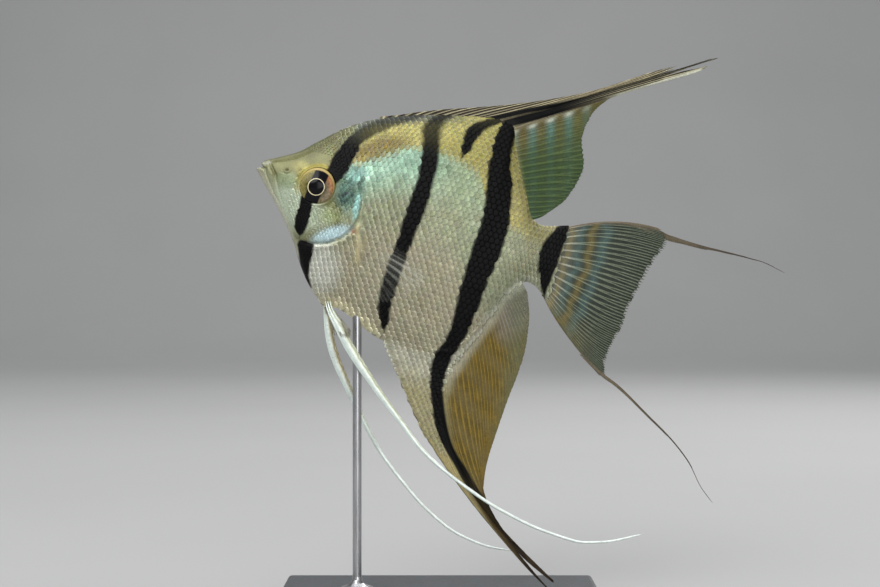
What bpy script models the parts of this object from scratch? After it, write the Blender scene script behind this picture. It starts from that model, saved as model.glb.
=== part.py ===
"""A life-size freshwater angelfish, held above a flat base by one rod.

The fish is modelled level, in millimetres, in its own axes: x runs back from the tip of the
snout, y to its right and z up. An empty then sets it on the stand, pitched head up.
The stand is modelled in the world's axes, with the origin under the middle of its base.
"""

import math

import bmesh
import bpy
import numpy as np
from mathutils import Matrix, Vector

MM = 0.001
GAP = 0.3  # clearance between neighbouring pieces
CUT_REACH = 9.0  # how far a cut runs out to each side of the mid-plane
SPECK_AREA = 8.0  # a smaller chip left by the cuts is dropped

# How the fish hangs on its stand
SNOUT = (-51.2, 0.0, 124.9)
PITCH = math.radians(15.5)

# Stand
BASE_SIZE = (90.0, 50.0, 6.0)
BASE_ROUNDING = 1.2
ROD_X = -23.2
ROD_RADIUS = 1.25
ROD_FOOT_RADIUS = 4.5
ROD_FOOT_HEIGHT = 3.0
ROD_TOP = 90.0

# Body: outlines along the fish, (x, z), and half its thickness at each x
BODY_LENGTH = 88.4
BODY_SIDES = 22
BODY_RINGS = 34
BACK = (
    (0.0, 0.5), (0.7, 1.6), (5.0, 4.2), (10.0, 7.4), (15.0, 11.9), (20.0, 16.5),
    (25.0, 20.0), (30.0, 22.6), (40.0, 26.3), (50.0, 28.9), (63.0, 31.2), (66.0, 30.6),
    (68.0, 25.5), (71.2, 19.0), (75.0, 12.2), (78.2, 6.7), (81.0, 5.7), (88.4, 7.6),
)
BELLY = (
    (0.0, -0.7), (2.0, -2.8), (5.6, -6.5), (9.7, -10.9), (14.5, -16.6), (21.3, -26.4),
    (25.2, -30.2), (29.0, -32.8), (32.0, -32.2), (35.0, -33.0), (46.5, -37.5), (60.0, -38.8),
    (65.0, -38.2), (68.0, -35.5), (71.0, -30.5), (75.5, -17.2), (79.0, -11.8), (82.0, -11.0),
    (88.4, -14.4),
)
HALF_THICKNESS = (
    (0.0, 0.9), (2.0, 1.7), (5.0, 2.8), (10.0, 4.2), (15.0, 5.3), (20.0, 6.1),
    (28.0, 6.9), (38.0, 7.3), (48.0, 7.0), (58.0, 5.9), (66.0, 4.6), (73.0, 3.4),
    (80.0, 2.5), (88.4, 1.5),
)
# How soon the flanks close in on the keel: 0.5 is an ellipse, more is a lens
KEEL = ((0.0, 0.5), (15.0, 0.6), (40.0, 0.75), (70.0, 0.75), (80.0, 0.6), (88.4, 0.55))

# Where thin cuts part the body, (x, z)
JAW_CUT = ((-1.5, 0.2), (2.2, 0.2), (3.8, -1.7), (6.2, -5.1), (8.3, -8.3), (8.5, -12.0))
HEAD_CUT = (
    (20.0, 21.0), (22.6, 15.5), (26.6, 9.9), (30.3, 5.1), (32.5, 0.8), (33.4, -3.4),
    (33.2, -8.6), (31.4, -12.0), (28.6, -15.2), (24.6, -17.9), (18.5, -18.9), (13.0, -17.6),
)
STALK_CUT = ((79.0, 11.0), (79.6, 2.0), (79.8, -5.0), (79.4, -15.0))
GILL_COVER = (
    (20.9, 13.0), (24.2, 10.5), (27.3, 6.7), (29.9, 3.5), (31.2, 0.1), (32.1, -3.4),
    (32.0, -7.4), (30.4, -10.7), (28.3, -13.6), (25.5, -15.7), (22.3, -16.8), (18.7, -16.9),
    (19.0, -15.0), (20.8, -12.2), (22.6, -9.6), (23.8, -6.4), (24.2, -3.4), (24.0, -0.6),
    (23.0, 3.5), (21.4, 7.9),
)
GILL_COVER_SEAT = 3.4  # distance of its inner face from the mid-plane

# Eye: a lens whose rim lies in the skin
EYE_CENTRE = (18.3, -0.9)
EYE_RADIUS = 5.1
EYE_HALF_DEPTH = 2.3
EYE_SEAT = 4.8

# Fins as fans of rays: each row is one ray's root, middle and tip, (x, z)
DORSAL_RAYS = (
    ((28.0, 19.4), (28.9, 21.4), (29.7, 22.9)),
    ((36.7, 22.7), (40.6, 26.4), (45.1, 29.2)),
    ((46.0, 25.8), (54.6, 31.4), (63.6, 35.8)),
    ((53.1, 27.5), (67.9, 35.6), (84.2, 45.4)),
    ((58.0, 28.6), (80.6, 41.9), (103.4, 57.7)),
    ((61.6, 29.3), (88.4, 46.5), (116.4, 64.2)),
    ((64.0, 29.1), (86.5, 43.8), (113.2, 59.9)),
    ((64.5, 28.3), (80.5, 39.6), (99.9, 51.5)),
    ((65.0, 27.6), (77.2, 35.8), (89.7, 44.5)),
    ((65.7, 26.1), (75.5, 32.6), (86.5, 39.1)),
    ((67.6, 22.2), (76.7, 27.4), (85.6, 33.0)),
    ((70.7, 16.4), (79.2, 20.4), (88.3, 23.6)),
    ((74.0, 10.9), (80.1, 12.9), (86.0, 14.8)),
    ((77.1, 5.9), (79.4, 7.0), (81.3, 8.6)),
)
ANAL_RAYS = (
    ((47.2, -34.9), (48.1, -37.2), (48.8, -39.9)),
    ((50.5, -34.5), (53.4, -41.8), (56.6, -50.2)),
    ((53.9, -33.9), (57.9, -47.3), (63.5, -58.2)),
    ((56.5, -32.9), (62.1, -51.9), (72.1, -66.0)),
    ((59.1, -31.8), (67.3, -57.0), (86.1, -76.7)),
    ((60.6, -31.1), (75.6, -64.3), (109.7, -91.9)),
    ((62.1, -30.1), (76.3, -64.4), (111.0, -89.2)),
    ((63.6, -29.1), (75.6, -61.3), (96.8, -81.8)),
    ((66.6, -25.4), (76.7, -49.3), (85.0, -69.7)),
    ((69.2, -22.1), (78.0, -40.3), (84.1, -61.2)),
    ((71.9, -18.4), (79.7, -31.7), (84.8, -47.1)),
    ((74.5, -15.1), (80.9, -23.5), (86.1, -31.6)),
    ((76.7, -12.7), (81.1, -17.0), (85.0, -21.5)),
    ((78.6, -10.0), (80.7, -12.0), (82.5, -13.9)),
)
CAUDAL_RAYS = (
    ((84.9, 5.0), (99.3, 11.7), (113.9, 13.5)),
    ((85.2, 3.0), (100.1, 8.9), (116.5, 9.9)),
    ((85.0, 0.3), (100.1, 3.6), (114.4, 4.4)),
    ((85.0, -2.6), (100.3, -2.1), (112.8, -2.7)),
    ((84.9, -5.5), (99.6, -8.1), (111.2, -9.2)),
    ((85.1, -8.1), (98.9, -13.8), (110.7, -16.1)),
    ((85.3, -9.8), (98.2, -17.6), (109.3, -21.1)),
    ((85.5, -11.3), (97.5, -20.6), (108.8, -26.5)),
    ((85.9, -12.3), (96.4, -22.0), (109.9, -30.8)),
    ((86.6, -13.2), (94.6, -21.1), (107.8, -30.6)),
)
PECTORAL_RAYS = (
    ((33.9, -8.9), (40.2, -10.3), (46.4, -12.2)),
    ((34.1, -10.6), (43.0, -12.2), (51.6, -14.7)),
    ((34.4, -12.8), (44.5, -14.5), (54.2, -17.1)),
    ((34.7, -14.7), (43.6, -17.6), (52.1, -21.6)),
    ((34.7, -16.7), (41.6, -20.5), (48.3, -25.2)),
    ((34.8, -18.4), (39.6, -22.4), (44.0, -27.0)),
    ((34.8, -19.2), (37.4, -22.0), (39.8, -25.0)),
)
FIN_ROOT_THICKNESS = 1.3
FIN_EDGE_THICKNESS = 0.55
PECTORAL_THICKNESS = 0.6
PECTORAL_SPREAD = 6.0  # how far its tip stands off the flank
DORSAL_BEND = 1.2  # how far each fin's tip leaves the mid-plane
ANAL_BEND = -1.5
CAUDAL_BEND = 1.5

# Where a fin is parted: one cut across its front, and one along the rays behind the blade
DORSAL_FRONT_CUT = ((59.0, 26.0), (67.0, 41.5))
DORSAL_REAR_CUT = ((63.0, 25.5), (70.0, 30.6), (77.0, 35.0), (83.0, 38.8), (92.0, 44.0))
ANAL_FRONT_CUT = ((60.0, -28.0), (74.5, -74.0))
ANAL_REAR_CUT = ((66.0, -22.0), (72.0, -39.0), (78.0, -55.0), (88.0, -68.0))
UPPER_THREAD_START = ((112.6, 15.9), (118.3, 7.9))
LOWER_THREAD_START = ((110.9, -28.5), (109.7, -34.0))

# Trailing threads: the points that a thread passes, (x, y, z), and its width there
UPPER_THREAD = (
    ((109.0, 0.0, 10.4), 3.0), ((112.6, 0.3, 11.2), 3.2), ((119.7, 0.8, 11.7), 1.9),
    ((125.5, 1.0, 11.7), 1.2), ((131.2, 1.2, 12.0), 0.8), ((142.8, 1.7, 12.3), 0.6),
    ((151.0, 2.0, 11.0), 0.5),
)
LOWER_THREAD = (
    ((104.0, 0.0, -27.6), 1.8), ((112.9, -0.4, -31.9), 1.0), ((123.5, -0.9, -37.7), 0.7),
    ((132.3, -1.2, -42.8), 0.6), ((138.6, -1.5, -47.7), 0.55), ((143.2, -1.7, -52.9), 0.5),
    ((147.8, -2.0, -56.6), 0.5),
)
LEFT_PELVIC = (
    ((28.4, -1.0, -29.6), 1.4), ((30.5, -1.9, -33.1), 1.7), ((33.9, -2.6, -36.7), 2.2),
    ((38.4, -3.3, -41.5), 2.4), ((48.1, -4.3, -50.0), 1.8), ((57.6, -5.6, -57.3), 1.3),
    ((66.6, -6.7, -63.9), 0.9), ((78.1, -7.0, -69.2), 0.8), ((90.7, -7.0, -73.4), 0.7),
    ((104.0, -7.0, -75.8), 0.6), ((112.5, -7.0, -76.2), 0.6), ((120.5, -7.0, -74.3), 0.55),
    ((130.4, -7.0, -69.3), 0.5),
)
RIGHT_PELVIC = (
    ((27.8, 1.0, -29.6), 1.4), ((29.2, 2.0, -33.5), 1.5), ((31.2, 2.7, -38.8), 2.0),
    ((34.1, 3.5, -44.4), 2.2), ((42.6, 5.2, -55.3), 1.7), ((48.2, 6.0, -61.9), 1.3),
    ((53.8, 7.0, -67.8), 1.0), ((62.0, 7.0, -74.3), 0.8), ((72.2, 7.0, -81.0), 0.7),
    ((82.6, 7.0, -85.2), 0.65),
    ((91.0, 7.0, -86.2), 0.6), ((98.2, 7.0, -85.6), 0.5),
)
THREAD_FLATNESS = 0.55  # depth over width
THREAD_LEAST = 0.5
PELVIC_CUTS = (0.34, 0.67)  # shares of the thread's length where it is parted


def glide(knots, values, at):
    """The smooth curve through the values that never overshoots one of them."""
    knots = np.asarray(knots, float)
    values = np.asarray(values, float).reshape(len(knots), -1)
    slopes = np.diff(values, axis=0) / np.diff(knots)[:, None]
    before, after = slopes[:-1], slopes[1:]
    same_way = before * after > 0
    middle = np.where(same_way, 2 * before * after / np.where(same_way, before + after, 1), 0)
    tangents = np.vstack([slopes[:1], middle, slopes[-1:]])
    i = int(np.clip(np.searchsorted(knots, at) - 1, 0, len(knots) - 2))
    span = knots[i + 1] - knots[i]
    t = np.clip((at - knots[i]) / span, 0, 1)
    start = (1 + 2 * t) * (1 - t) ** 2 * values[i] + t * (1 - t) ** 2 * span * tangents[i]
    end = t * t * (3 - 2 * t) * values[i + 1] - t * t * (1 - t) * span * tangents[i + 1]
    return start + end


def read(table, x):
    """The value at x of a table of (x, value) pairs."""
    return float(glide([row[0] for row in table], [row[1] for row in table], x)[0])


def chord_lengths(points):
    """The distance along the points, from 0 to 1."""
    steps = np.linalg.norm(np.diff(np.asarray(points, float), axis=0), axis=1)
    return np.concatenate([[0.0], np.cumsum(steps)]) / steps.sum()


def collection(name):
    group = bpy.data.collections.new(name)
    bpy.context.scene.collection.children.link(group)
    return group


def material(name, colour, roughness, metallic=0.0):
    paint = bpy.data.materials.new(name)
    paint.use_nodes = True
    shader = paint.node_tree.nodes["Principled BSDF"]
    shader.inputs["Base Color"].default_value = (*colour, 1.0)
    shader.inputs["Roughness"].default_value = roughness
    shader.inputs["Metallic"].default_value = metallic
    return paint


def add(name, shape, group, parent=None):
    """An object from a bmesh, whose points are in millimetres."""
    bmesh.ops.scale(shape, vec=(MM, MM, MM), verts=shape.verts)
    mesh = bpy.data.meshes.new(name)
    shape.to_mesh(mesh)
    shape.free()
    obj = bpy.data.objects.new(name, mesh)
    obj.parent = parent
    group.objects.link(obj)
    return obj


def hide_helper(obj):
    obj.hide_render = True
    obj.display_type = "WIRE"


def combine(obj, other, operation):
    change = obj.modifiers.new(f"{operation} {other.name}", "BOOLEAN")
    change.operation = operation
    change.object = other


def thicken(obj, thickness):
    shell = obj.modifiers.new("Thickness", "SOLIDIFY")
    shell.thickness = thickness * MM
    shell.offset = 0.0
    return shell


def body(name, group, fish, grow=0.0):
    """The whole body as one closed shape, its surface moved out by grow."""
    shape = bmesh.new()
    bmesh.ops.create_uvsphere(shape, u_segments=BODY_SIDES, v_segments=BODY_RINGS, radius=1.0)
    for vert in shape.verts:
        share = (1 + vert.co.z) / 2
        x = BODY_LENGTH * share
        top, bottom = read(BACK, x) + grow, read(BELLY, x) - grow
        ring = math.hypot(vert.co.x, vert.co.y)
        up = vert.co.x / ring if ring > 1e-6 else 0.0
        out = vert.co.y / ring if ring > 1e-6 else 0.0
        reach = 1.0 if ring > 1e-6 else 0.0
        half = (read(HALF_THICKNESS, x) + grow) * abs(out) ** (2 * read(KEEL, x))
        vert.co = (
            x + grow * (2 * share - 1),
            -math.copysign(half, out),
            (top + bottom) / 2 + reach * up * (top - bottom) / 2,
        )
    return add(name, shape, group, fish)


def flank(x, z):
    """Half the body's thickness at a point of its side."""
    top, bottom = read(BACK, x), read(BELLY, x)
    share = (2 * z - top - bottom) / (top - bottom)
    return read(HALF_THICKNESS, x) * max(0.0, 1 - share * share) ** read(KEEL, x)


def wall(name, path, group, fish, reach=CUT_REACH):
    """A thin wall along a path in (x, z) that runs through to both sides."""
    grid = bmesh.new()
    steps = len(path) - 1
    bmesh.ops.create_grid(grid, x_segments=steps, y_segments=1, size=0.5)
    for vert in grid.verts:
        x, z = path[round((vert.co.x + 0.5) * steps)]
        vert.co = (x, 2 * reach * vert.co.y, z)
    obj = add(name, grid, group, fish)
    thicken(obj, GAP)
    hide_helper(obj)
    return obj


def gill_cup(name, side, group, fish):
    """The thin gap behind and round one gill cover."""
    cup = bmesh.new()
    bmesh.ops.create_circle(cup, cap_ends=True, segments=len(GILL_COVER), radius=1.0)
    cup.verts.ensure_lookup_table()
    for vert, (x, z) in zip(cup.verts, GILL_COVER):
        vert.co = (x, side * GILL_COVER_SEAT, z)
    rim = bmesh.ops.extrude_edge_only(cup, edges=cup.edges)["geom"]
    for vert in rim:
        if isinstance(vert, bmesh.types.BMVert):
            vert.co.y = side * CUT_REACH
    bmesh.ops.recalc_face_normals(cup, faces=cup.faces)
    obj = add(name, cup, group, fish)
    thicken(obj, GAP)
    hide_helper(obj)
    return obj


def lens(name, side, grow, group, fish):
    """An eye, or its socket when it grows by the gap."""
    shape = bmesh.new()
    size = Matrix.Diagonal((EYE_RADIUS + grow, EYE_RADIUS + grow, EYE_HALF_DEPTH + grow, 1))
    place = Matrix.Translation((EYE_CENTRE[0], side * EYE_SEAT, EYE_CENTRE[1]))
    turn = Matrix.Rotation(math.pi / 2, 4, "X")
    bmesh.ops.create_uvsphere(
        shape, u_segments=20, v_segments=10, radius=1.0, matrix=place @ turn @ size
    )
    return add(name, shape, group, fish)


def ray_point(rays, row, along):
    """A point of the fan: row counts rays and may lie between two, along runs from 0 to 1."""
    root, middle, tip = glide(range(len(rays)), rays, row).reshape(3, 2)
    control = 2 * middle - (root + tip) / 2
    return (1 - along) ** 2 * root + 2 * along * (1 - along) * control + along**2 * tip


def fan(name, rays, across, along, side_of, group, fish):
    """A fin: a sheet over its rays, thick at the root and thin at the edge.

    side_of(x, z, row share, ray share) is how far the sheet lies from the mid-plane.
    """
    grid = bmesh.new()
    bmesh.ops.create_grid(grid, x_segments=across, y_segments=along, size=0.5)
    weights = []
    for vert in grid.verts:
        row_share, ray_share = vert.co.x + 0.5, vert.co.y + 0.5
        x, z = ray_point(rays, row_share * (len(rays) - 1), ray_share)
        vert.co = (x, side_of(x, z, row_share, ray_share), z)
        weights.append((1 - ray_share) ** 1.5)
    obj = add(name, grid, group, fish)
    thickness = obj.vertex_groups.new(name="thickness")
    for index, weight in enumerate(weights):
        thickness.add([index], weight, "REPLACE")
    shell = thicken(obj, FIN_ROOT_THICKNESS)
    shell.vertex_group = thickness.name
    shell.thickness_vertex_group = FIN_EDGE_THICKNESS / FIN_ROOT_THICKNESS
    return obj


def thread(name, course, rings, group, fish):
    """A flattened thread through the points of its course."""
    points = [row[0] for row in course]
    knots = chord_lengths(points)
    shape = bmesh.new()
    bmesh.ops.create_uvsphere(shape, u_segments=8, v_segments=rings, radius=1.0)
    for vert in shape.verts:
        share = (1 + vert.co.z) / 2
        centre = glide(knots, points, share)
        ahead = glide(knots, points, min(1, share + 0.01))
        behind = glide(knots, points, max(0, share - 0.01))
        width = float(glide(knots, [row[1] for row in course], share)[0])
        direction = Vector(ahead - behind).normalized()
        across = direction.cross(Vector((0, 1, 0))).normalized()
        deep = direction.cross(across)
        ring = max(math.hypot(vert.co.x, vert.co.y), 1e-6)
        reach = 1.0 if ring > 1e-5 else 0.0
        depth = max(width * THREAD_FLATNESS, THREAD_LEAST)
        vert.co = (
            Vector(centre)
            + across * (reach * width / 2 * vert.co.x / ring)
            + deep * (reach * depth / 2 * vert.co.y / ring)
        )
    return add(name, shape, group, fish)


def islands(shape):
    """The separate bodies of a bmesh, each as a set of faces."""
    left = set(shape.faces)
    while left:
        found, edge_of = set(), [next(iter(left))]
        while edge_of:
            face = edge_of.pop()
            if face in found:
                continue
            found.add(face)
            edge_of += [near for edge in face.edges for near in edge.link_faces]
        left -= found
        yield found


def part_out(whole, seeds, group, fish):
    """Each separate body of a cut shape as its own object, named for the seed it lies at.

    The body at the seed called spare is left out.
    """
    evaluated = whole.evaluated_get(bpy.context.evaluated_depsgraph_get())
    mesh = bpy.data.meshes.new_from_object(evaluated)
    cut = bmesh.new()
    cut.from_mesh(mesh)
    bmesh.ops.remove_doubles(cut, verts=cut.verts, dist=1e-7)
    centres = []
    for faces in islands(cut):
        if sum(face.calc_area() for face in faces) < SPECK_AREA * MM * MM:
            continue
        verts = {vert for face in faces for vert in face.verts}
        centre = sum((vert.co for vert in verts), Vector()) / len(verts)
        centres.append((centre / MM, {vert.index for vert in verts}))
    if len(centres) != len(seeds):
        raise ValueError(f"{whole.name} is in {len(centres)} pieces: {[c[0] for c in centres]}")
    for name, seed in seeds.items():
        if name == "spare":
            continue
        nearest = min(centres, key=lambda item: (item[0] - Vector(seed)).length)
        piece = cut.copy()
        spare = [vert for vert in piece.verts if vert.index not in nearest[1]]
        bmesh.ops.delete(piece, geom=spare, context="VERTS")
        bmesh.ops.scale(piece, vec=(1 / MM, 1 / MM, 1 / MM), verts=piece.verts)
        add(name, piece, group, fish)
    cut.free()
    hide_helper(whole)


def make_body(parts, cutters, fish):
    whole = body("whole_body", cutters, fish)
    combine(whole, wall("jaw_gap", JAW_CUT, cutters, fish), "DIFFERENCE")
    combine(whole, wall("head_gap", HEAD_CUT, cutters, fish), "DIFFERENCE")
    combine(whole, wall("stalk_gap", STALK_CUT, cutters, fish), "DIFFERENCE")
    for side, word in ((-1, "left"), (1, "right")):
        socket = lens(f"socket_{word}", side, GAP, cutters, fish)
        hide_helper(socket)
        combine(whole, socket, "DIFFERENCE")
        combine(whole, gill_cup(f"gill_gap_{word}", side, cutters, fish), "DIFFERENCE")
        lens(f"eye_{word}", side, 0.0, parts, fish)
    bore = turned("rod_bore", ((ROD_RADIUS + GAP, ROD_TOP + GAP), (ROD_RADIUS + GAP, 60.0)), cutters)
    hide_helper(bore)
    combine(whole, bore, "DIFFERENCE")
    seeds = {
        "head": (17.0, 0.0, 0.0),
        "lower_jaw": (4.0, 0.0, -5.0),
        "gill_cover_left": (27.0, -5.0, -3.0),
        "gill_cover_right": (27.0, 5.0, -3.0),
        "trunk": (50.0, 0.0, -5.0),
        "tail_stalk": (84.0, 0.0, -3.0),
    }
    part_out(whole, seeds, parts, fish)


def make_median_fins(parts, cutters, fish, clearance):
    def bent(amount):
        return lambda x, z, row_share, ray_share: amount * ray_share**2 * math.sin(
            math.pi * row_share
        )

    dorsal = fan("whole_dorsal", DORSAL_RAYS, 26, 8, bent(DORSAL_BEND), cutters, fish)
    combine(dorsal, clearance, "DIFFERENCE")
    front = wall("dorsal_front_gap", DORSAL_FRONT_CUT, cutters, fish)
    rear = wall("dorsal_rear_gap", DORSAL_REAR_CUT, cutters, fish)
    combine(dorsal, front, "DIFFERENCE")
    combine(dorsal, rear, "DIFFERENCE")
    seeds = {
        "dorsal_fin_spines": (58.0, 0.0, 33.0),
        "dorsal_fin_blade": (88.0, 0.0, 45.0),
        "dorsal_fin_soft": (80.0, 0.0, 20.0),
    }
    part_out(dorsal, seeds, parts, fish)

    anal = fan("whole_anal", ANAL_RAYS, 26, 8, bent(ANAL_BEND), cutters, fish)
    combine(anal, clearance, "DIFFERENCE")
    front = wall("anal_front_gap", ANAL_FRONT_CUT, cutters, fish)
    rear = wall("anal_rear_gap", ANAL_REAR_CUT, cutters, fish)
    combine(anal, front, "DIFFERENCE")
    combine(anal, rear, "DIFFERENCE")
    seeds = {
        "anal_fin_front": (60.0, 0.0, -48.0),
        "anal_fin_streamer": (82.0, 0.0, -68.0),
        "anal_fin_soft": (80.0, 0.0, -35.0),
    }
    part_out(anal, seeds, parts, fish)

    caudal = fan("whole_caudal", CAUDAL_RAYS, 18, 7, bent(CAUDAL_BEND), cutters, fish)
    combine(caudal, clearance, "DIFFERENCE")
    part_out(caudal, {"caudal_fin": (100.0, 0.0, -8.0)}, parts, fish)
    for word, course, start in (
        ("upper", UPPER_THREAD, UPPER_THREAD_START),
        ("lower", LOWER_THREAD, LOWER_THREAD_START),
    ):
        strand = thread(f"whole_{word}_streamer", course, 16, cutters, fish)
        combine(strand, wall(f"{word}_streamer_gap", start, cutters, fish), "DIFFERENCE")
        ends = {"spare": course[0][0], f"caudal_streamer_{word}": course[-1][0]}
        part_out(strand, ends, parts, fish)


def make_paired_fins(parts, cutters, fish, clearance):
    for side, word in ((-1, "left"), (1, "right")):
        def splayed(x, z, row_share, ray_share, side=side):
            return side * (flank(x, z) + PECTORAL_SPREAD * ray_share - 0.4)

        fin = fan(f"whole_pectoral_{word}", PECTORAL_RAYS, 8, 6, splayed, cutters, fish)
        fin.modifiers["Thickness"].vertex_group = ""
        fin.modifiers["Thickness"].thickness = PECTORAL_THICKNESS * MM
        combine(fin, clearance, "DIFFERENCE")
        part_out(fin, {f"pectoral_fin_{word}": (44.0, 10.0 * side, -16.0)}, parts, fish)

    for word, course in (("left", LEFT_PELVIC), ("right", RIGHT_PELVIC)):
        strand = thread(f"whole_pelvic_{word}", course, 34, cutters, fish)
        combine(strand, clearance, "DIFFERENCE")
        points = [row[0] for row in course]
        knots = chord_lengths(points)
        for number, share in enumerate(PELVIC_CUTS, 1):
            centre = glide(knots, points, share)
            ahead = glide(knots, points, share + 0.01) - centre
            across = 3.0 * np.array([ahead[2], -ahead[0]]) / math.hypot(ahead[0], ahead[2])
            middle = centre[[0, 2]]
            path = (middle - across, middle + across)
            gap = wall(f"pelvic_gap_{word}_{number}", path, cutters, fish)
            combine(strand, gap, "DIFFERENCE")
        first, second = (glide(knots, points, share) for share in (0.5, 0.83))
        seeds = {
            f"pelvic_fin_{word}": glide(knots, points, 0.17),
            f"pelvic_streamer_{word}_1": first,
            f"pelvic_streamer_{word}_2": second,
        }
        part_out(strand, seeds, parts, fish)


def turned(name, profile, group):
    """A round upright piece about the rod's axis, from (radius, height) down its outer side."""
    shape = bmesh.new()
    points = [(0.0, profile[0][1]), *profile, (0.0, profile[-1][1])]
    verts = [shape.verts.new((radius, 0.0, height)) for radius, height in points]
    for first, second in zip(verts, verts[1:]):
        shape.edges.new((first, second))
    obj = add(name, shape, group)
    obj.location = (ROD_X * MM, 0.0, 0.0)
    spin = obj.modifiers.new("Turn", "SCREW")
    spin.steps = spin.render_steps = 20
    spin.use_merge_vertices = True
    spin.merge_threshold = 1e-5
    return obj


def make_stand(parts):
    slab = bmesh.new()
    bmesh.ops.create_cube(slab, size=1.0, matrix=Matrix.Diagonal((*BASE_SIZE, 1.0)))
    bmesh.ops.translate(slab, vec=(0, 0, BASE_SIZE[2] / 2), verts=slab.verts)
    base = add("stand_base", slab, parts)
    edges = base.modifiers.new("Rounded edges", "BEVEL")
    edges.width = BASE_ROUNDING * MM
    edges.segments = 3

    foot = BASE_SIZE[2] + GAP
    profile = [(ROD_RADIUS, ROD_TOP)]
    for step in range(6):
        turn = math.pi / 2 * step / 5
        flare = (ROD_FOOT_RADIUS - ROD_RADIUS) * (1 - math.cos(turn))
        profile.append((ROD_RADIUS + flare, foot + 1 + ROD_FOOT_HEIGHT * (1 - math.sin(turn))))
    profile.append((ROD_FOOT_RADIUS, foot))
    turned("stand_rod", profile, parts)


def finish(parts):
    """Materials and shading for every piece."""
    silver = material("silver_olive_skin", (0.46, 0.47, 0.36), 0.35)
    cheek = material("gill_cover_silver", (0.36, 0.50, 0.48), 0.30)
    lip = material("jaw_olive", (0.52, 0.49, 0.34), 0.40)
    dark = material("eye_black", (0.02, 0.02, 0.02), 0.08)
    fin = material("fin_olive", (0.34, 0.30, 0.16), 0.45)
    tail = material("tail_fin_grey", (0.40, 0.46, 0.44), 0.45)
    white = material("pelvic_white", (0.78, 0.80, 0.76), 0.45)
    slate = material("stand_grey_paint", (0.045, 0.048, 0.05), 0.50)
    steel = material("rod_steel", (0.55, 0.55, 0.56), 0.30, 1.0)
    paints = {
        "stand_base": slate, "stand_rod": steel, "eye": dark, "gill": cheek, "lower": lip,
        "dorsal": fin, "anal": fin, "caudal": tail, "pectoral": tail, "pelvic": white,
    }
    for obj in parts.objects:
        found = [paint for start, paint in paints.items() if obj.name.startswith(start)]
        obj.data.materials.append(found[0] if found else silver)
        obj.data.shade_smooth()
        obj.data.set_sharp_from_angle(angle=math.radians(35))


def main():
    for obj in list(bpy.data.objects):
        bpy.data.objects.remove(obj)
    parts = collection("freshwater_angelfish")
    cutters = collection("cutters")
    fish = bpy.data.objects.new("fish_axes", None)
    fish.location = Vector(SNOUT) * MM
    fish.rotation_euler = (0.0, PITCH, 0.0)
    parts.objects.link(fish)
    bpy.context.view_layer.update()

    clearance = body("body_clearance", cutters, fish, GAP)
    hide_helper(clearance)
    make_body(parts, cutters, fish)
    make_median_fins(parts, cutters, fish, clearance)
    make_paired_fins(parts, cutters, fish, clearance)
    make_stand(parts)
    parts.objects.unlink(fish)
    cutters.objects.link(fish)
    finish(parts)


main()
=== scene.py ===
"""The looks of a life-size freshwater angelfish, held over a flat base by one rod.

Shapes of the fish are worked out in its own level axes, in millimetres: x runs back from the
tip of the snout, y to its right and z up. placed() then sets them on the stand, head up.
"""

import math

import bpy
import numpy as np
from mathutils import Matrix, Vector


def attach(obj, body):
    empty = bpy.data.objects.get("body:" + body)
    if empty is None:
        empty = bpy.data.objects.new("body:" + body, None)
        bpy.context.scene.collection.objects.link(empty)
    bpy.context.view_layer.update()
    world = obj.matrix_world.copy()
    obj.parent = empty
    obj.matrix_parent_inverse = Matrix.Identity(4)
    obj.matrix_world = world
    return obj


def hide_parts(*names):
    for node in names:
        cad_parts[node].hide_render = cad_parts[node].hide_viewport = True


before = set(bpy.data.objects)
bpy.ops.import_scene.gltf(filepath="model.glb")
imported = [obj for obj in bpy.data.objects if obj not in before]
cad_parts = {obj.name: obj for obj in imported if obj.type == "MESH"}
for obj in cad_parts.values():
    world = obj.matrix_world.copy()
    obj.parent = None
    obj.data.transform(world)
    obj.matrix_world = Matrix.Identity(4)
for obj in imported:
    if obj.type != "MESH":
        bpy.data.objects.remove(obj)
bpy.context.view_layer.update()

MM = 0.001
SNOUT = np.array((-51.2, 0.0, 124.9))
PITCH = math.radians(15.5)
RNG = np.random.default_rng(7)
SIDES = ((-1, "left"), (1, "right"))

# Body outlines along the fish, (x, value), as the solids have them
BODY_LENGTH = 88.4
BACK = (
    (0.0, 0.5), (0.7, 1.6), (5.0, 4.2), (10.0, 7.4), (15.0, 11.9), (20.0, 16.5),
    (25.0, 20.0), (30.0, 22.6), (40.0, 26.3), (50.0, 28.9), (63.0, 31.2), (66.0, 30.6),
    (68.0, 25.5), (71.2, 19.0), (75.0, 12.2), (78.2, 6.7), (81.0, 5.7), (88.4, 7.6),
)
BELLY = (
    (0.0, -0.7), (2.0, -2.8), (5.6, -6.5), (9.7, -10.9), (14.5, -16.6), (21.3, -26.4),
    (25.2, -30.2), (29.0, -32.8), (32.0, -32.2), (35.0, -33.0), (46.5, -37.5), (60.0, -38.8),
    (65.0, -38.2), (68.0, -35.5), (71.0, -30.5), (75.5, -17.2), (79.0, -11.8), (82.0, -11.0),
    (88.4, -14.4),
)
HALF_THICKNESS = (
    (0.0, 0.9), (2.0, 1.7), (5.0, 2.8), (10.0, 4.2), (15.0, 5.3), (20.0, 6.1),
    (28.0, 6.9), (38.0, 7.3), (48.0, 7.0), (58.0, 5.9), (66.0, 4.6), (73.0, 3.4),
    (80.0, 2.5), (88.4, 1.5),
)
KEEL = ((0.0, 0.5), (15.0, 0.6), (40.0, 0.75), (70.0, 0.75), (80.0, 0.6), (88.4, 0.55))
COAT = 0.25  # depth of the scales over the skin

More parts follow.
